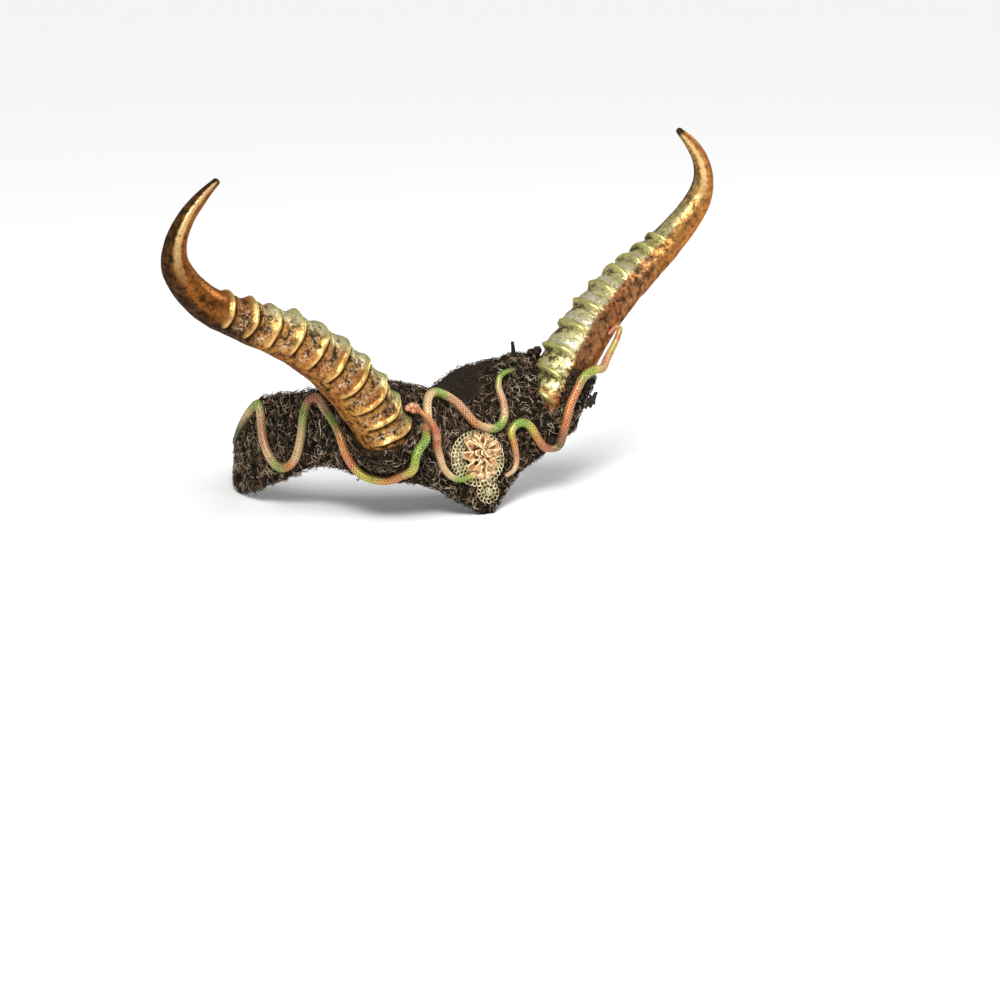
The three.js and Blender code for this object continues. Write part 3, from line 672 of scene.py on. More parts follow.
def horn_finish(name, look):
    material, sheet = new_finish(name)
    rim = sheet.painted("rim")
    crease = sheet.painted("crease")
    hollow = sheet.painted("hollow")
    inner = sheet.painted("inner_side")
    front = sheet.painted("front_side")
    share = sheet.painted("share")
    mottle = sheet.cloud(4 * MM, 5, 0.65)
    speckle = sheet.cloud(1.3 * MM, 3, 0.6)
    drift = sheet.cloud(14 * MM, 4)
    streak = sheet.node("ShaderNodeTexNoise", {}, {
        "Vector": sheet.vector(inner, front, share * 1.5),
        "Scale": 5.0, "Detail": 5.0, "Roughness": 0.7,
    })

    def towards(angle, low, high, ragged=0.3, climb=0.0):
        # How far a place faces the given angle round the horn, from the low edge to the high one
        turn = math.radians(angle)
        facing = front * math.cos(turn) + inner * math.sin(turn) - share * climb
        return sheet.rise(facing + (drift + mottle - 1) * ragged, low, high)

    upper = sheet.rise(share, 0.47, 0.56)
    lime_side = towards(*look["lime_side"], climb=look["lime_climb"])
    lime_side = lime_side * (1 - look["upper_gold"] * sheet.rise(share, *look["gold_above"]))
    # The side turned from the light is darkened as painted shade, more on the upper half.
    shaded_side = towards(*look["shaded_side"])
    hollow_side = towards(*look["hollow_side"])
    warm = sheet.blend(sheet.rise(mottle, 0.36, 0.62), *look["warm"])
    warm = sheet.blend(sheet.rise(drift, 0.47, 0.62) * 0.4, warm, paint(166, 90, 46))
    above = sheet.blend(sheet.rise(streak * 0.3 + mottle * 0.7, 0.38, 0.62), *look["above"])
    warm = sheet.blend(upper, warm, above)
    lime = sheet.blend(sheet.rise(mottle, 0.38, 0.6), paint(140, 134, 64), paint(212, 202, 124))
    pale = sheet.rise(share, 0.1, 0.24) * (1 - upper)
    flat = sheet.clamp(1 - rim * 1.3 - hollow * 0.8) * (0.3 + 0.6 * pale)
    lime = sheet.blend(flat * sheet.rise(speckle, 0.4, 0.56), lime, paint(240, 235, 218))
    colour = sheet.blend(lime_side, warm, lime)
    foot = sheet.rise(share, 0.085, 0.055) * look["copper_root"]
    colour = sheet.blend(foot, colour, paint(178, 100, 54))
    colour = sheet.blend(hollow * sheet.rise(speckle, 0.5, 0.6) * 0.85, colour, paint(216, 204, 174))
    colour = sheet.blend(upper * towards(*look["orange_side"]) * 0.6, colour, paint(172, 102, 50))
    highlight = sheet.rise(share, 0.72, 0.88) * towards(*look["highlight_side"], 0.02)
    colour = sheet.blend(highlight * 0.75, colour, paint(242, 204, 142))
    bright = sheet.clamp(rim * (0.6 + 0.7 * mottle))
    colour = sheet.blend(bright, colour, sheet.blend(lime_side, look["rim"], paint(210, 206, 130)))
    # Creases, and the hollows on one side of each horn, are darkened: antique paint, and painted shade from
    # the rims.
    patch = hollow_side * (look["hollow_dark"] + look["hollow_fade"] * (0.2 - share))
    shade_and_grime = crease * look["crease"] + hollow * patch * (0.4 + 0.9 * sheet.rise(mottle, 0.58, 0.44))
    shade_and_grime = shade_and_grime + sheet.rise(speckle, 0.45, 0.36) * 0.55 + sheet.rise(streak, 0.38, 0.3) * 0.3 * upper
    shade_and_grime = shade_and_grime + sheet.rise(mottle, 0.46, 0.34) * 0.45 * (1 - 0.7 * lime_side)
    root = sheet.rise(share, 0.2, 0.1) * look["copper_root"]
    shade_and_grime = shade_and_grime + root * (0.1 + 0.5 * sheet.rise(mottle, 0.56, 0.42))
    # Painted shade on the side turned from the light, strongest on the upper half.
    shade_and_grime = shade_and_grime + shaded_side * (0.2 + 0.8 * upper) * (0.7 + 0.3 * sheet.rise(mottle, 0.6, 0.4))
    shade_and_grime = shade_and_grime + sheet.painted("band") * (1 - lime_side) * 0.4 * sheet.rise(mottle, 0.6, 0.4)
    shade_and_grime = sheet.clamp((shade_and_grime + sheet.rise(share, 0.975, 0.995)) * (1 - 0.7 * bright))
    # The sum darkens the colour: painted shade from creases, hollows and the shaded side, and dark paint
    # from speckles, streaks, mottle, root and tip.
    colour = sheet.blend(shade_and_grime * 0.95, colour, sheet.blend(lime_side, paint(26, 18, 9), paint(46, 42, 18)))
    close_finish(sheet, {
        "Base Color": colour,
        "Metallic": 0.85 - 0.75 * shade_and_grime,
        "Roughness": 0.28 + 0.45 * shade_and_grime + 0.1 * speckle,
        "Specular IOR Level": 0.25,
        "Specular Tint": (*EDGE_TINT, 1),
        "Normal": sheet.bump(speckle * 1.4 + mottle + streak * 0.3, 0.36, 0.5 * MM),
    })
    return material


# Per horn: where the rims stand, the paint, the side whose creases and hollows take painted shade, the side
# darkened as painted shade, and the side of the painted highlight.
HORN_LOOKS = {
    "horn_left": {
        "rim_side": 115, "rim_width": 1.7, "rim_fade": (-0.1, 0.5), "rim": paint(222, 156, 92),
        "hollow": (5.2, 3.4), "hollow_side": (135, 0.15, 0.75), "hollow_dark": 1.0, "hollow_fade": 1.8,
        "lime_side": (130, -0.37, -0.12), "lime_climb": 0.6, "upper_gold": 0.85, "gold_above": (0.58, 0.82),
        "shaded_side": (138, 0.45, 0.95), "crease": 0.55, "copper_root": 1.0,
        "warm": (paint(86, 58, 36), paint(172, 120, 78)),
        "above": (paint(120, 80, 40), paint(204, 152, 88)),
        "orange_side": (-50, 0.2, 0.8), "highlight_side": (42, 0.9, 1.0),
    },
    "horn_right": {
        "rim_side": 45, "rim_width": 1.45, "rim_fade": (-0.42, 0.1), "rim": paint(238, 192, 118),
        "hollow": (8.4, 2.9), "hollow_side": (60, -0.1, 0.6), "hollow_dark": 0.62, "hollow_fade": 0.0,
        "lime_side": (95, 0.15, 0.8), "lime_climb": 0.0, "upper_gold": 0.85, "gold_above": (0.47, 0.56),
        "shaded_side": (-125, -0.15, 0.35), "crease": 1.0, "copper_root": 0.0,
        "warm": (paint(92, 58, 26), paint(190, 136, 66)),
        "above": (paint(50, 32, 14), paint(142, 86, 38)),
        "orange_side": (60, 0.55, 1.0), "highlight_side": (-22, 0.9, 1.0),
    },
}
for node, look in HORN_LOOKS.items():
    name = "gold_" + node
    strength = ease(np.cos(horn_turn - math.radians(look["rim_side"])), *look["rim_fade"])[None, :]
    rims = humps(0, look["rim_width"]) * rim_wear
    hollows = humps(*look["hollow"])
    relief = RIM_HEIGHT * rims - CREASE_DEPTH * creases - HOLLOW_DEPTH * hollows
    reach = (plain_radius + relief * strength) * rounded[:, None]
    horn_rings = horn_middle[:, None, :] + radial * reach[..., None]
    mesh = loft(name, horn_rings * MM, mirror=node == "horn_right")
    guides = {
        "rim": rims * strength, "crease": creases * strength, "hollow": hollows * strength,
        "band": (creases + hollows) * (1 - strength),
        "inner_side": inner_side, "front_side": front_side, "share": horn_share,
    }
    for guide, values in guides.items():
        put_rings(mesh, guide, np.clip(values, -1, 1))
    mesh.materials.append(horn_finish(name, look))
    horn = add_piece(name, mesh)
    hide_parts(node)
    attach(horn, "root")

# Snakes
# Three moulded rubber snakes, painted copper, pink and cream with lime bands and pressed with fine scales.
# They lie on the fibre in waves; the left one climbs on to its horn. A row is wall angle and height on the
# band, or distance along and angle round the left horn; then any extra lift, and the paint.
NUGGET_ROWS = 9
NUGGET_SIDES = 14
NUGGET_DENT = 0.35
NUGGET_DENTS = 1.8
BROWS = [
    (-53.1, -99.0, 72.2, 1.7), (-50.9, -99.6, 71.4, 1.8), (-52.4, -99.2, 69.0, 1.6),
    (-55.0, -97.6, 70.6, 1.9),
]
BROW_SCALE = 0.4
SNAKE_RADIUS = 2.6
SNAKE_SIDES = 24
SNAKE_STEP = 0.4
SNAKE_CLEARANCE = 0.6
RING_HEIGHT = 1.5
PROBE_ANGLE = 1.6
PROBE_HEIGHT = 2.4
PROBE_START = 90.0
SCALE_LENGTH = 2.3
SCALES_ROUND = 8
SCALE_HEIGHT = 0.4
THIN_END = ([0, 12, 40], [0.4, 0.66, 1])
FIRST_ACROSS = (0.3, 0.2, 1.0)
SNAKE_PAINTS = {
    "green": paint(110, 152, 36),
    "lime": paint(176, 168, 58),
    "moss": paint(70, 78, 38),
    "cream": paint(206, 174, 124),
    "pink": paint(190, 136, 100),
    "orange": paint(192, 116, 54),
    "copper": paint(178, 92, 52),
    "red": paint(146, 72, 50),
}
SNAKES = {
    "snake_right": {
        "taper": THIN_END,
        "band": [
            (-122, 31, 0, "moss"), (-113, 43, 0, "moss"), (-104.5, 54.5, 0, "cream"),
            (-97.5, 61.5, 0, "green"), (-95.8, 56, 0, "cream"), (-95.2, 50, 0, "pink"),
            (-93.8, 40.5, 0, "pink"), (-89.5, 31, 0, "cream"), (-84.4, 26.5, 0, "green"),
            (-79.4, 29.5, 0, "orange"), (-76.8, 35, 0, "cream"), (-74.6, 47, 0, "cream"),
            (-73, 62, 0, "green"), (-70.5, 69.5, 0, "red"), (-66.5, 71.5, 0, "red"),
            (-61.5, 66, 0, "pink"), (-56.5, 60, 0, "green"), (-53, 52, 0, "orange"),
            (-51.8, 45, 0, "orange"), (-50, 37.5, 0, "copper"), (-47, 31.5, 0, "lime"),
            (-43, 28.8, 0, "lime"), (-38.5, 28.6, 0, "orange"), (-34.8, 32, 0, "orange"),
            (-32, 38.5, 0, "lime"), (-30.3, 45.5, 0, "green"), (-28, 51, 0, "green"),
            (-25.8, 55.5, 0, "copper"), (-24.4, 61, 0, "cream"), (-23.4, 68, 0, "cream"),
            (-21.5, 72.4, 0, "cream"), (-18.6, 73.6, 0, "green"), (-15, 72.2, 0, "green"),
            (-11.2, 69.4, 0, "pink"), (-7.6, 65.6, 0, "pink"), (-4.2, 60, 0, "pink"),
            (-0.3, 53, 0, "orange"), (4.5, 49.2, 0, "cream"), (9.5, 47.6, 0, "green"),
            (13.5, 49.5, 0, "green"), (15.8, 54.5, 0, "cream"), (16.6, 62, 0, "pink"),
            (16.2, 70, 0, "cream"), (17.5, 75.5, 0, "green"), (20, 78, 0, "green"),
            (24.5, 79, 0, "moss"),
        ],
        "horn": [],
    },
    "snake_centre": {
        "taper": ([0, 2.5, 5.5, 8.5, 15, 26], [0.6, 1.15, 1.2, 0.55, 0.6, 1]),
        "band": [
            (-30.6, 70.5, 0, "copper"), (-29.3, 66, 0, "copper"), (-27.6, 60.5, 3.2, "orange"),
            (-26, 55.8, 6.8, "copper"), (-24.4, 50.6, 4.6, "copper"), (-22.4, 44.5, 0, "orange"),
            (-21.2, 39, -0.7, "cream"), (-19.8, 32, -0.7, "cream"), (-17.8, 26.5, 0.8, "cream"),
            (-14.5, 23, 1.6, "green"), (-11.5, 22.2, 1.6, "green"), (-7.6, 23.2, 3.4, "lime"),
        ],
        "horn": [],
    },
    "snake_left": {
        "taper": THIN_END,
        "band": [
            (11, 19.3, 0, "cream"), (15.8, 22.8, 0, "cream"), (17.2, 28.2, 0, "pink"),
            (17.1, 37, 0, "orange"), (17, 44, 0, "lime"), (19.2, 48.4, 0, "green"),
            (21.7, 49, 0, "green"), (23.2, 46.3, 0, "lime"), (25.3, 39.5, 0, "orange"),
            (28.5, 34.5, 0, "copper"), (31.5, 33, 0, "copper"), (34, 36.5, 0, "moss"),
        ],
        "horn": [
            (3, 10, 2.4, "copper"), (13, 8, 1.3, "orange"), (23, 7, 1.2, "copper"),
            (32, 5, 1.2, "green"), (39, -8, 1.5, "lime"), (44, -24, 1.5, "pink"),
            (52, -31, 0.2, "copper"), (60, -31, 0, "lime"), (68, -28, -0.4, "copper"),
            (73.5, -21, -1.4, "lime"), (71, -14, -2.8, "copper"), (65, -15, -4.6, "copper"),
        ],
    },
}
band_tree = solid_tree("base_band")


def wall_point(angle, height, out):
    # A point on the leaning wall of the opening, pushed out along the wall's normal, in metres
    turn = math.radians(angle)
    lean = FRONT_LEAN if math.cos(turn) > 0 else BACK_LEAN
    width = OPENING_HALF_WIDTH - SIDE_LEAN * height
    depth = OPENING_HALF_DEPTH - lean * height * abs(math.cos(turn))
    point = Vector((width * math.sin(turn), -depth * math.cos(turn), height))
    return point + Vector((point.x / width**2, point.y / depth**2, 0)).normalized() * out


def place_on_band(angle, height, lift):
    hits = []
    for turn in (0, -PROBE_ANGLE, PROBE_ANGLE):
        for rise in (0, -PROBE_HEIGHT, PROBE_HEIGHT):
            level = (height + rise) * MM
            start = wall_point(angle + turn, level, PROBE_START * MM)
            inward = (wall_point(angle + turn, level, 0) - start).normalized()
            point, facing, _, reach = band_tree.ray_cast(start, inward)
            if point and reach < PROBE_START * MM:
                hits.append((point, facing))
    normal = sum((facing for _, facing in hits), Vector()).normalized()
    foot = hits[0][0]
    highest = max((point - foot).dot(normal) for point, _ in hits)
    return foot / MM + normal * (highest / MM + SNAKE_RADIUS + SNAKE_CLEARANCE + lift)


def place_on_horn(along, around, lift):
    place = min(np.searchsorted(horn_along, along), len(horn_along) - 1)
    turn = math.radians(around)
    outward = horn_front[place] * math.cos(turn) + horn_inner[place] * math.sin(turn)
    reach = horn_radius[place] + RING_HEIGHT + SNAKE_RADIUS + SNAKE_CLEARANCE + lift
    return Vector(horn_middle[place] + outward * reach)


def snake_finish():
    material, sheet = new_finish("snake_paint")
    skin = sheet.painted("skin", "Color")
    ridge = sheet.painted("scale")
    wear = sheet.cloud(2.2 * MM, 4, 0.7)
    patches = sheet.cloud(6 * MM, 3)
    colour = sheet.blend(sheet.rise(patches, 0.54, 0.68) * 0.5, skin, paint(208, 178, 134))
    # Scale crests get a painted highlight and the gaps between scales a painted shade.
    colour = sheet.blend(sheet.rise(ridge, 0.5, 0.85) * 0.6, colour, paint(240, 218, 176))
    colour = sheet.blend(sheet.rise(ridge, 0.45, 0.1) * 0.68, colour, paint(66, 44, 28))
    colour = sheet.blend(sheet.rise(wear, 0.46, 0.34) * 0.65, colour, paint(62, 42, 26))
    close_finish(sheet, {
        "Base Color": colour,
        "Metallic": 0.3,
        "Roughness": 0.55 - 0.18 * ridge,
        "Normal": sheet.bump(wear, 0.3, 0.3 * MM),
    })
    return material


def nugget(x, y, z, radius):
    # A small rounded lump with a hammered surface, from its lowest ring to its highest
    middle = Vector((x, y, z))
    points = []
    for row in range(NUGGET_ROWS):
        slope = math.pi * (1 - (row + 0.5) / NUGGET_ROWS)
        for side in range(NUGGET_SIDES):
            turn = math.tau * side / NUGGET_SIDES
            flat = math.sin(slope)
            way = Vector((flat * math.cos(turn), flat * math.sin(turn), math.cos(slope)))
            dent = 1 + NUGGET_DENT * noise.noise(way * NUGGET_DENTS + middle)
            points.append(middle + way * radius * dent)
    points.append(Vector((x, y, z - radius)))
    points.append(Vector((x, y, z + radius)))
    return points, tube_faces(NUGGET_ROWS, NUGGET_SIDES)


def merged_mesh(name, parts, material):
    # One mesh out of several lists of points, in millimetres, and of faces
    points = []
    faces = []
    for part_points, part_faces in parts:
        start = len(points)
        points.extend(part_points)
        faces.extend([[start + corner for corner in face] for face in part_faces])
    mesh = bpy.data.meshes.new(name)
    mesh.from_pydata([tuple(MM * value for value in point) for point in points], [], faces)
    mesh.materials.append(material)
    mesh.shade_smooth()
    return mesh


def put_skin(mesh, colours):
    skin = mesh.attributes.new("skin", "FLOAT_COLOR", "POINT")
    full = np.hstack([colours, np.ones((len(colours), 1))])
    skin.data.foreach_set("color", full.astype(np.float32).ravel())


def carried_frames(line):
    # Two directions across the line at each place, carried along it without twist
    way = unit(np.gradient(line, axis=0))
    first = [unit(np.cross(way[0], FIRST_ACROSS))]
    for direction in way[1:]:
        kept = first[-1] - direction * (first[-1] @ direction)
        first.append(unit(kept))
    first = np.array(first)
    return first, np.cross(way, first)


def rings_round(middle, first, second, radius, turn):
    # Rings of points round a line, with the radius at each place and at each turn
    rings = middle[:, None, :] + first[:, None, :] * (radius * np.cos(turn))[..., None]
    return rings + second[:, None, :] * (radius * np.sin(turn))[..., None]


snake_paint = snake_finish()
for name, snake in SNAKES.items():
    places = [place_on_band(*row[:3]) for row in snake["band"]]
    places = places + [place_on_horn(*row[:3]) for row in snake["horn"]]
    line, lengths = curve_through(places)
    length = lengths[-1]
    along = np.linspace(0, length, round(length / SNAKE_STEP))
    middle = along_curve(line, lengths, along)
    first, second = carried_frames(middle)
    ending = np.interp(length - along, *THIN_END)
    thickness = np.minimum(np.interp(along, *snake["taper"]), np.where(ending < 1, ending, np.inf))
    turn = turns(SNAKE_SIDES)
    round_turn = turn[None, :] * SCALES_ROUND / 2
    along_turn = along[:, None] * math.pi / SCALE_LENGTH
    weave = np.abs(np.sin(round_turn + along_turn)) * np.abs(np.sin(round_turn - along_turn))
    radius = (SNAKE_RADIUS * thickness)[:, None] + SCALE_HEIGHT * (weave - 0.5)
    mesh = loft("painted_" + name, rings_round(middle, first, second, radius, turn) * MM)
    put_rings(mesh, "scale", weave)
    row_lengths = lengths[::CURVE_STEPS]
    paints = np.array([SNAKE_PAINTS[row[3]] for row in snake["band"] + snake["horn"]])
    colours = along_curve(paints, row_lengths, along)
    colours = np.repeat(colours[:, None, :], SNAKE_SIDES, axis=1).reshape(-1, 3)
    put_skin(mesh, np.vstack([colours, colours[:1], colours[-1:]]))
    mesh.materials.append(snake_paint)
    body = add_piece("painted_" + name, mesh)
    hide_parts(name)
    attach(body, "root")
brow_mesh = merged_mesh("snake_brows", [nugget(*brow) for brow in BROWS], snake_paint)
put_skin(brow_mesh, np.repeat([SNAKE_PAINTS["pink"]], len(brow_mesh.vertices), axis=0))
put_values(brow_mesh, "scale", np.full(len(brow_mesh.vertices), BROW_SCALE))
brows = add_piece("snake_brows", brow_mesh)
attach(brows, "root")

# Filigree
# A pierced pale-gold stamping behind the rosette, with a small drop below it: rings of round loops of fine
# wire, each soldered to the next, and edge wires. It lies on the fibre and leans with the front.
MEDALLION_TURN = math.pi / 2 - math.atan(FRONT_LEAN)
MEDALLION_PLACE = Matrix.Translation(MEDALLION_MIDDLE) @ Matrix.Rotation(MEDALLION_TURN, 4, "X")
PLATE_MIDDLE = (0, 0)
DROP_MIDDLE = (3, -20.6)
LACE_LEVEL = 1.9
LACE_RINGS = [
    {"middle": PLATE_MIDDLE, "half": (18.5, 15.2), "loops": 40, "loop": 1.5, "wire": 0.36},
    {"middle": PLATE_MIDDLE, "half": (16.0, 12.9), "loops": 36, "loop": 1.5, "wire": 0.36},
    {"middle": PLATE_MIDDLE, "half": (13.4, 10.6), "loops": 30, "loop": 1.5, "wire": 0.36},
    {"middle": PLATE_MIDDLE, "half": (10.8, 8.4), "loops": 24, "loop": 1.5, "wire": 0.36},
    {"middle": DROP_MIDDLE, "half": (6.9, 5.5), "loops": 15, "loop": 1.5, "wire": 0.24},
    {"middle": DROP_MIDDLE, "half": (4.1, 3.2), "loops": 9, "loop": 1.5, "wire": 0.24},
    {"middle": DROP_MIDDLE, "half": (1.5, 1.2), "loops": 4, "loop": 1.4, "wire": 0.24},
]
EDGE_WIRES = [
    {"middle": PLATE_MIDDLE, "half": (17.3, 14.1), "wire": 0.45},
    {"middle": PLATE_MIDDLE, "half": (14.7, 11.8), "wire": 0.4},
    {"middle": DROP_MIDDLE, "half": (5.5, 4.3), "wire": 0.26},
]
BACKINGS = [
    {"middle": PLATE_MIDDLE, "half": (18.6, 15.2)},
    {"middle": DROP_MIDDLE, "half": (4.2, 3.3)},
]
BACKING_LEVELS = (1.1, 1.6)
LOOP_POINTS = 10
WIRE_SIDES = 5
EDGE_POINTS = 64


def lace_tree():
    tree, sheet, given = open_tree("lace", {
        "Start": "Geometry", "Half Width": "Float", "Half Height": "Float", "Loops": "Int",
        "Loop": "Float", "Wire": "Float", "Middle": "Vector", "Material": "Material",
    })

    def circle(count, radius):
        sockets = {"Resolution": count, "Radius": radius}
        return sheet.node("GeometryNodeCurvePrimitiveCircle", {}, sockets)

    ring = circle(given("Loops"), 1.0)
    half = sheet.vector(given("Half Width"), given("Half Height"))
    place = sheet.node("GeometryNodeInputPosition")
    spread = sheet.node("ShaderNodeVectorMath", {"operation": "MULTIPLY_ADD"}, {
        0: place, 1: half, 2: given("Middle"),
    })
    ring = sheet.moved(ring, spread)
    loops = sheet.node("GeometryNodeInstanceOnPoints", {}, {
        "Points": ring, "Instance": circle(LOOP_POINTS, given("Loop")),
    })
    loops = sheet.node("GeometryNodeRealizeInstances", {}, {"Geometry": loops})
    wires = sheet.node("GeometryNodeCurveToMesh", {}, {
        "Curve": loops, "Profile Curve": circle(WIRE_SIDES, given("Wire")),
    })
    close_tree(sheet, wires, given("Material"))
    return tree


def pale_gold_finish(name, dark, light):
    material, sheet = new_finish(name)
    mottle = sheet.cloud(4 * MM, 4)
    grain = sheet.cloud(1.2 * MM, 2)
    colour = sheet.blend(sheet.rise(mottle, 0.4, 0.62), dark, light)
    colour = sheet.blend(sheet.rise(grain, 0.46, 0.36) * 0.7, colour, paint(70, 56, 34))
    close_finish(sheet, {
        "Base Color": colour,
        "Metallic": 0.55,
        "Roughness": 0.38 + 0.2 * grain,
    })
    return material


def oval(middle, half):
    # The points of an oval, with the turn at each
    turn = turns(EDGE_POINTS)
    line = np.stack([half[0] * np.cos(turn) + middle[0], half[1] * np.sin(turn) + middle[1]], axis=-1)
    return line, turn


def wire_ring(middle, half, wire):
    line, turn = oval(middle, half)
    outward = unit(np.stack([np.cos(turn) / half[0], np.sin(turn) / half[1]], axis=-1))
    section = turns(WIRE_SIDES + 1)
    flat = line[:, None, :] + outward[:, None, :] * (wire * np.cos(section))[None, :, None]
    high = np.broadcast_to((LACE_LEVEL + wire * np.sin(section))[None, :, None], (*flat.shape[:2], 1))
    rings = np.concatenate([flat, high], axis=-1)
    count, sides = rings.shape[:2]
    index = np.arange(count * sides).reshape(count, sides)
    nearby = np.roll(index, -1, axis=0)
    faces = np.stack([index, nearby, np.roll(nearby, -1, axis=1), np.roll(index, -1, axis=1)], axis=-1)
    return rings.reshape(-1, 3), faces.reshape(-1, 4)


def joined(name, parts, material):
    # One piece out of several lists of points and faces, put in the medallion's place
    mesh = merged_mesh(name, parts, material)
    mesh.transform(MEDALLION_PLACE)
    return add_piece(name, mesh)


def mesh_part(piece):
    # A piece's points and faces as lists, with the piece taken away again
    points = points_of(piece.data)
    faces = [list(face.vertices) for face in piece.data.polygons]
    bpy.data.objects.remove(piece)
    return points, faces


def backing(middle, half):
    # A flat oval plate, as two rims of points and a middle point on each face
    rim, _ = oval(middle, half)
    rims = [np.column_stack([rim, np.full(EDGE_POINTS, level)]) for level in BACKING_LEVELS]
    points = np.vstack([*rims, [[*middle, level] for level in BACKING_LEVELS]])
    return points, tube_faces(len(rims), EDGE_POINTS)


pale_gold = pale_gold_finish("pale_gold", paint(176, 162, 110), paint(230, 222, 182))
dull_gold = pale_gold_finish("dull_gold", paint(58, 46, 28), paint(96, 80, 50))
lace = lace_tree()
nothing = bpy.data.meshes.new("nothing")
lace_parts = []
for ring in LACE_RINGS:
    piece = grown("lace_ring", nothing, lace, {
        "Half Width": ring["half"][0], "Half Height": ring["half"][1], "Loops": ring["loops"],
        "Loop": ring["loop"], "Wire": ring["wire"], "Middle": (*ring["middle"], LACE_LEVEL),
        "Material": pale_gold,
    })
    lace_parts.append(mesh_part(piece))
for edge in EDGE_WIRES:
    lace_parts.append(wire_ring(**edge))
filigree = joined("filigree_lace", lace_parts, pale_gold)
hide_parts("filigree_plate")
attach(filigree, "root")
back_plate = joined("filigree_back", [backing(**plate) for plate in BACKINGS], dull_gold)
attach(back_plate, "root")

# Rosette
# A cast rose-gold flower of folded, curled petals in rising rings, with a bud in the middle. It stands on
# a round boss soldered to the filigree, with copper nuggets clustered at its foot.
ROSETTE_MIDDLE = (0.6, 2.0)
ROSETTE_LEVEL = 3.2
PETAL_RINGS = [
    {"count": 11, "ring": 6.2, "height": 0.2, "tilt": 16, "length": 7.0, "width": 6.2},
    {"count": 9, "ring": 5.0, "height": 1.5, "tilt": 34, "length": 6.8, "width": 6.0},
    {"count": 7, "ring": 3.2, "height": 2.5, "tilt": 52, "length": 5.8, "width": 5.2},
    {"count": 4, "ring": 1.2, "height": 3.2, "tilt": 72, "length": 4.6, "width": 4.4},
]
PETAL_ROWS = 9
PETAL_COLUMNS = 7
PETAL_THICKNESS = 1.2
PETAL_JITTER = 0.27
PETAL_TWIST = 2.4
PETAL_FOLD = 0.3
PETAL_ARCH = 0.22
PETAL_CURL = 2.2
PETAL_CURL_START = 0.66
NUGGETS = [
    (-6.6, -8.6, 2.4, 2.7), (-1.6, -9.4, 3.6, 3.0), (3.4, -10.4, 3.4, 2.8), (8.2, -8.8, 3.0, 2.6),
    (0.8, -12.6, 2.2, 2.2), (11.4, -5.6, 2.2, 2.2),
]
BOSS_RADIUS = 8.6
BOSS_HEIGHT = 2.4
BOSS_FOOT = 0.9
BOSS_RINGS = 5
BOSS_SIDES = 28


def petal_mesh():
    # One blunt petal of unit length along +X, folded along its middle and rolled back at its tip
    points = []
    for row in range(PETAL_ROWS):
        reach = row / (PETAL_ROWS - 1)
        half = 0.5 * math.sin(math.pi * (0.2 + 0.66 * reach)) ** 0.6
        for column in range(PETAL_COLUMNS):
            side = 2 * column / (PETAL_COLUMNS - 1) - 1
            fold = PETAL_FOLD * abs(side) ** 1.8 * math.sin(math.pi * reach) ** 0.6
            arch = PETAL_ARCH * math.sin(math.pi * reach)
            roll = PETAL_CURL * max(0, reach - PETAL_CURL_START) ** 2
            points.append((reach, side * half, fold + arch - roll))
    faces = []
    for row in range(PETAL_ROWS - 1):
        for column in range(PETAL_COLUMNS - 1):
            corner = row * PETAL_COLUMNS + column
            faces.append((corner, corner + PETAL_COLUMNS, corner + PETAL_COLUMNS + 1, corner + 1))
    mesh = bpy.data.meshes.new("petal")
    mesh.from_pydata(points, [], faces)
    return mesh


def petal_tree():
    tree, sheet, given = open_tree("petals", {
        "Petal": "Geometry", "Count": "Int", "Ring": "Float", "Height": "Float", "Tilt": "Float",
        "Start": "Float", "Length": "Float", "Width": "Float", "Jitter": "Float", "Seed": "Int",
        "Material": "Material",
    })

    def jitter(seed):
        sockets = {"Min": 0 - given("Jitter"), "Max": given("Jitter"), "Seed": given("Seed") + seed}
        return sheet.node("FunctionNodeRandomValue", {"data_type": "FLOAT"}, sockets)

    ring = sheet.node("GeometryNodeMeshCircle", {}, {"Vertices": given("Count"), "Radius": 0.001})
    turn = sheet.node("GeometryNodeInputIndex") * math.tau
    turn = sheet.math("DIVIDE", turn, given("Count")) + given("Start") + jitter(1)
    out = given("Ring") * (1 + jitter(2))
    x = out * sheet.math("COSINE", turn)
    y = out * sheet.math("SINE", turn)
    ring = sheet.moved(ring, sheet.vector(x, y, given("Height")))
    lean = sheet.vector(jitter(3) * PETAL_TWIST, jitter(4) - given("Tilt"), turn)
    size = sheet.vector(given("Length") * (1 + jitter(5)), given("Width"), given("Width"))
    petals = sheet.node("GeometryNodeInstanceOnPoints", {}, {
        "Points": ring, "Instance": given("Petal"), "Rotation": lean, "Scale": size,
    })
    petals = sheet.node("GeometryNodeRealizeInstances", {}, {"Geometry": petals})
    close_tree(sheet, petals, given("Material"))
    return tree


def rose_gold_finish(name, dark, light):
    material, sheet = new_finish(name)
    mottle = sheet.cloud(3.6 * MM, 4)
    grain = sheet.cloud(1 * MM, 3)
    edge = sheet.node("ShaderNodeNewGeometry", output="Pointiness")
    colour = sheet.blend(sheet.rise(mottle, 0.38, 0.64), dark, light)
    # Pointed edges take a painted highlight and the creases between petals and lumps a painted shade.
    colour = sheet.blend(sheet.rise(edge, 0.51, 0.58), colour, paint(246, 226, 180))
    colour = sheet.blend(sheet.rise(edge, 0.49, 0.43) * 0.85, colour, paint(96, 56, 26))
    close_finish(sheet, {
        "Base Color": colour,
        "Metallic": 0.6,
        "Roughness": 0.36 + 0.2 * grain,
        "Normal": sheet.bump(grain, 0.25, 0.3 * MM),
    })
    return material


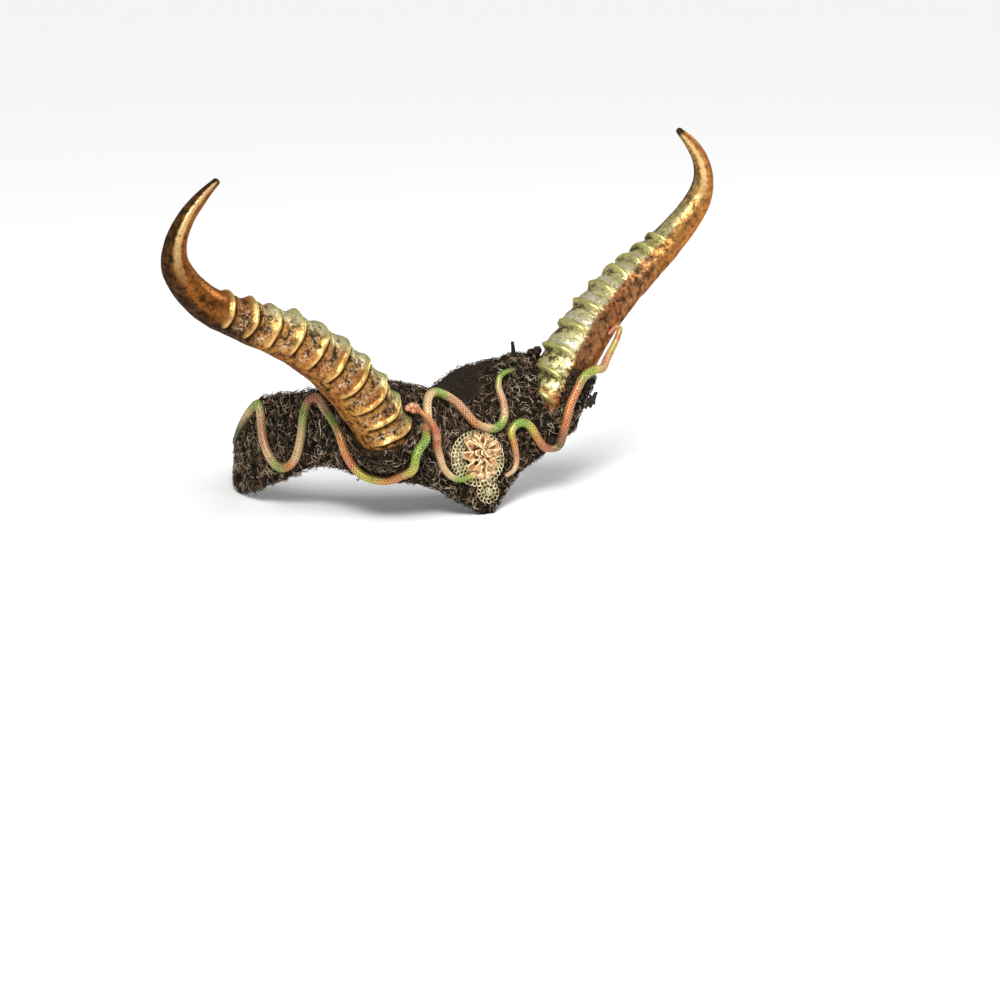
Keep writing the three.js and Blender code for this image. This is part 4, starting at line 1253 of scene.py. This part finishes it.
def boss():
    # The round boss under the petals, as a low dome of rings from its foot to its top
    x, y = ROSETTE_MIDDLE
    foot = ROSETTE_LEVEL - BOSS_FOOT
    points = []
    for ring in range(BOSS_RINGS):
        slope = 0.5 * math.pi * (1 - ring / BOSS_RINGS)
        radius = BOSS_RADIUS * math.sin(slope)
        height = foot + (BOSS_HEIGHT + BOSS_FOOT) * math.cos(slope)
        for side in range(BOSS_SIDES):
            turn = math.tau * side / BOSS_SIDES
            points.append((x + radius * math.cos(turn), y + radius * math.sin(turn), height))
    points.append((x, y, foot))
    points.append((x, y, ROSETTE_LEVEL + BOSS_HEIGHT))
    return np.array(points), tube_faces(BOSS_RINGS, BOSS_SIDES)


rose_gold = rose_gold_finish("rose_gold", paint(146, 94, 50), paint(198, 156, 106))
copper = rose_gold_finish("copper_nuggets", paint(176, 102, 66), paint(222, 158, 116))
petals = petal_tree()
petal = petal_mesh()
rosette_parts = [boss()]
for number, ring in enumerate(PETAL_RINGS):
    piece = grown("petal_ring", petal, petals, {
        "Count": ring["count"], "Ring": ring["ring"], "Height": ring["height"],
        "Tilt": math.radians(ring["tilt"]), "Start": 0.5 * number, "Length": ring["length"],
        "Width": ring["width"], "Jitter": PETAL_JITTER, "Seed": number, "Material": rose_gold,
    })
    thicken = piece.modifiers.new("thicken", "SOLIDIFY")
    thicken.thickness = PETAL_THICKNESS
    thicken.offset = 0
    round_off = piece.modifiers.new("round_off", "SUBSURF")
    round_off.levels = 1
    round_off.render_levels = 1
    make_plain(piece)
    ring_points, ring_faces = mesh_part(piece)
    rosette_parts.append((ring_points + (*ROSETTE_MIDDLE, ROSETTE_LEVEL), ring_faces))
rosette = joined("rosette_flower", rosette_parts, rose_gold)
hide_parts("rosette")
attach(rosette, "root")
nuggets = joined("copper_nuggets", [nugget(*lump) for lump in NUGGETS], copper)
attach(nuggets, "root")

# Scraps
# Bits that stand out of the mat: a stub of twig, torn clumps with a ridge beside the left horn, a curled dry
# leaf, a hooked hair and a pale thread. They are dark and rough, except for the thread.
TWIGS = {
    "twig_stub": {
        "line": [(51, -67, 74), (51.6, -66.6, 80), (52, -66.4, 87), (51, -66.8, 93)],
        "thick": [1.7, 1.6, 1.4, 1.0], "tint": paint(34, 31, 28),
    },
    "hooked_hair": {
        "line": [
            (-72, -71, 37), (-72.5, -71.5, 32), (-72.2, -72, 28.4), (-73.4, -72.3, 26.8),
            (-74.6, -72.2, 27.8),
        ],
        "thick": [0.4, 0.36, 0.34, 0.3, 0.24], "tint": paint(44, 30, 24),
    },
    "pale_thread": {
        "line": [(-78.6, -44, 60), (-79.6, -44.6, 57.5), (-79.2, -45, 54), (-79.8, -45.4, 50.3)],
        "thick": [0.28, 0.26, 0.26, 0.2], "tint": paint(206, 198, 186),
    },
}
TWIG_SIDES = 10
TWIG_STEPS = 8
CLUMPS = [
    (64.6, -73.7, 86.6, 2.9), (61.4, -71.5, 86, 2.3), (45.5, -66.5, 82.5, 3.0), (30, -71, 79, 2.8),
    (18.2, -75.6, 77.8, 2.8), (54.5, -96.5, 36.5, 4.0),
]
COLLAR_COUNT = 46
COLLAR_LENGTH = 31
COLLAR_ANGLE = 15
COLLAR_SPREAD = 5
COLLAR_NARROWING = 0.6
COLLAR_SIZES = (1.1, 2.3)
COLLAR_SINK = (-5.2, -3.4)
COLLAR_SEED = 5
LEAF_LINE = [(76, -100.5, 55), (81, -101, 56), (86, -100.4, 57.6), (91, -98.8, 60.5)]
LEAF_WIDTHS = [2.0, 4.2, 3.8, 1.0]
LEAF_THICKNESS = 0.7
LEAF_CURL = -0.8
LEAF_FACING = (0.15, 0.9, 0.3)
LEAF_WAVE = 0.25
LEAF_WAVES = 1.9
LEAF_CURLS = 0.5
LEAF_STEPS = 28
LEAF_SIDES = 14


def bark_finish(name, tint):
    material, sheet = new_finish(name)
    mottle = sheet.cloud(2 * MM, 4, 0.7)
    shade = tuple(0.35 * part for part in tint)
    close_finish(sheet, {
        "Base Color": sheet.blend(sheet.rise(mottle, 0.36, 0.62), shade, tint),
        "Roughness": 0.75 + 0.2 * mottle,
        "Specular IOR Level": 0.25,
        "Normal": sheet.bump(mottle, 0.6, 0.5 * MM),
    })
    return material


def twig_mesh(name, points, radii):
    line, lengths = curve_through(points)
    along = np.linspace(0, lengths[-1], TWIG_STEPS * len(points))
    middle = along_curve(line, lengths, along)
    first, second = carried_frames(middle)
    turn = turns(TWIG_SIDES)
    radius = np.interp(along, lengths[::CURVE_STEPS], radii)[:, None]
    return loft(name, rings_round(middle, first, second, radius, turn) * MM)


def leaf_mesh():
    # A thin curled scrap: a flat tube whose sides bend up
    line, lengths = curve_through(LEAF_LINE)
    along = np.linspace(0, lengths[-1], LEAF_STEPS)
    middle = along_curve(line, lengths, along)
    way = unit(np.gradient(middle, axis=0))
    side = unit(np.cross(way, LEAF_FACING))
    rise = np.cross(way, side)
    half = np.interp(along, lengths[::CURVE_STEPS], LEAF_WIDTHS)[:, None]
    half = half * (1 + LEAF_WAVE * np.sin(along * LEAF_WAVES))[:, None]
    turn = turns(LEAF_SIDES)
    bend = LEAF_CURL * np.cos(turn) ** 2 * np.sin(along * LEAF_CURLS)[:, None]
    flat = 0.5 * LEAF_THICKNESS * np.sin(turn)[None, :] + bend
    rings = middle[:, None, :] + side[:, None, :] * (half * np.cos(turn))[..., None]
    rings = rings + rise[:, None, :] * flat[..., None]
    return loft("dry_leaf", rings * MM)


for name, twig in TWIGS.items():
    mesh = twig_mesh(name, twig["line"], twig["thick"])
    mesh.materials.append(bark_finish(name, twig["tint"]))
    scrap = add_piece(name, mesh)
    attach(scrap, "root")
bark = bark_finish("dry_bark", paint(40, 35, 31))
leaf_piece = add_piece("dry_leaf", leaf_mesh())
leaf_piece.data.materials.append(bark)
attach(leaf_piece, "root")
draw = np.random.default_rng(COLLAR_SEED)
collar = []
for along in np.linspace(1, COLLAR_LENGTH, COLLAR_COUNT):
    spread = COLLAR_SPREAD * (1 - COLLAR_NARROWING * along / COLLAR_LENGTH)
    around = COLLAR_ANGLE + spread * draw.normal()
    place = place_on_horn(along, around, draw.uniform(*COLLAR_SINK))
    collar.append((*place, draw.uniform(*COLLAR_SIZES)))
clump_parts = [nugget(*clump) for clump in CLUMPS + collar]
clumps = add_piece("torn_clumps", merged_mesh("torn_clumps", clump_parts, felt))
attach(clumps, "root")

# Floor and light
# A plain pale floor, a dim surround, one broad soft sun from high at the right front, and two lamps near
# the part: one beside the sun and a weaker one from the left.
FLOOR_SIZE = 40.0
SUN_FROM = Vector((-0.55, -0.6, 0.85))
SUN_POWER = 2.6
SUN_ANGLE = math.radians(30)
SURROUND = 0.42
floor_mesh = bpy.data.meshes.new("floor")
corner = FLOOR_SIZE / 2
floor_corners = [(-corner, -corner, 0), (corner, -corner, 0), (corner, corner, 0), (-corner, corner, 0)]
floor_mesh.from_pydata(floor_corners, [], [(0, 1, 2, 3)])
floor_paint, floor_sheet = new_finish("floor_paint")
close_finish(floor_sheet, {"Base Color": (0.9, 0.9, 0.9, 1), "Roughness": 0.9, "Specular IOR Level": 0.1})
floor_mesh.materials.append(floor_paint)
floor = add_piece("floor", floor_mesh)
world = bpy.data.worlds.new("studio")
world.use_nodes = True
world.node_tree.nodes["Background"].inputs["Color"].default_value = (1, 1, 1, 1)
world.node_tree.nodes["Background"].inputs["Strength"].default_value = SURROUND
bpy.context.scene.world = world
bpy.context.scene.view_settings.view_transform = "Standard"
sun_light = bpy.data.lights.new("sun", "SUN")
sun_light.energy = SUN_POWER
sun_light.angle = SUN_ANGLE
sun = bpy.data.objects.new("sun", sun_light)
sun.rotation_euler = (-SUN_FROM).to_track_quat("-Z", "Y").to_euler()
bpy.context.scene.collection.objects.link(sun)
LAMPS = [
    {"name": "key", "place": (-0.9, -1.1, 1.0), "size": 0.4, "power": 13},
    {"name": "side", "place": (1.2, -0.5, 0.8), "size": 0.4, "power": 7},
]
for lamp in LAMPS:
    light = bpy.data.lights.new(lamp["name"], "AREA")
    light.size = lamp["size"]
    light.energy = lamp["power"]
    holder = bpy.data.objects.new(lamp["name"], light)
    holder.location = lamp["place"]
    holder.rotation_euler = (-Vector(lamp["place"])).to_track_quat("-Z", "Y").to_euler()
    bpy.context.scene.collection.objects.link(holder)
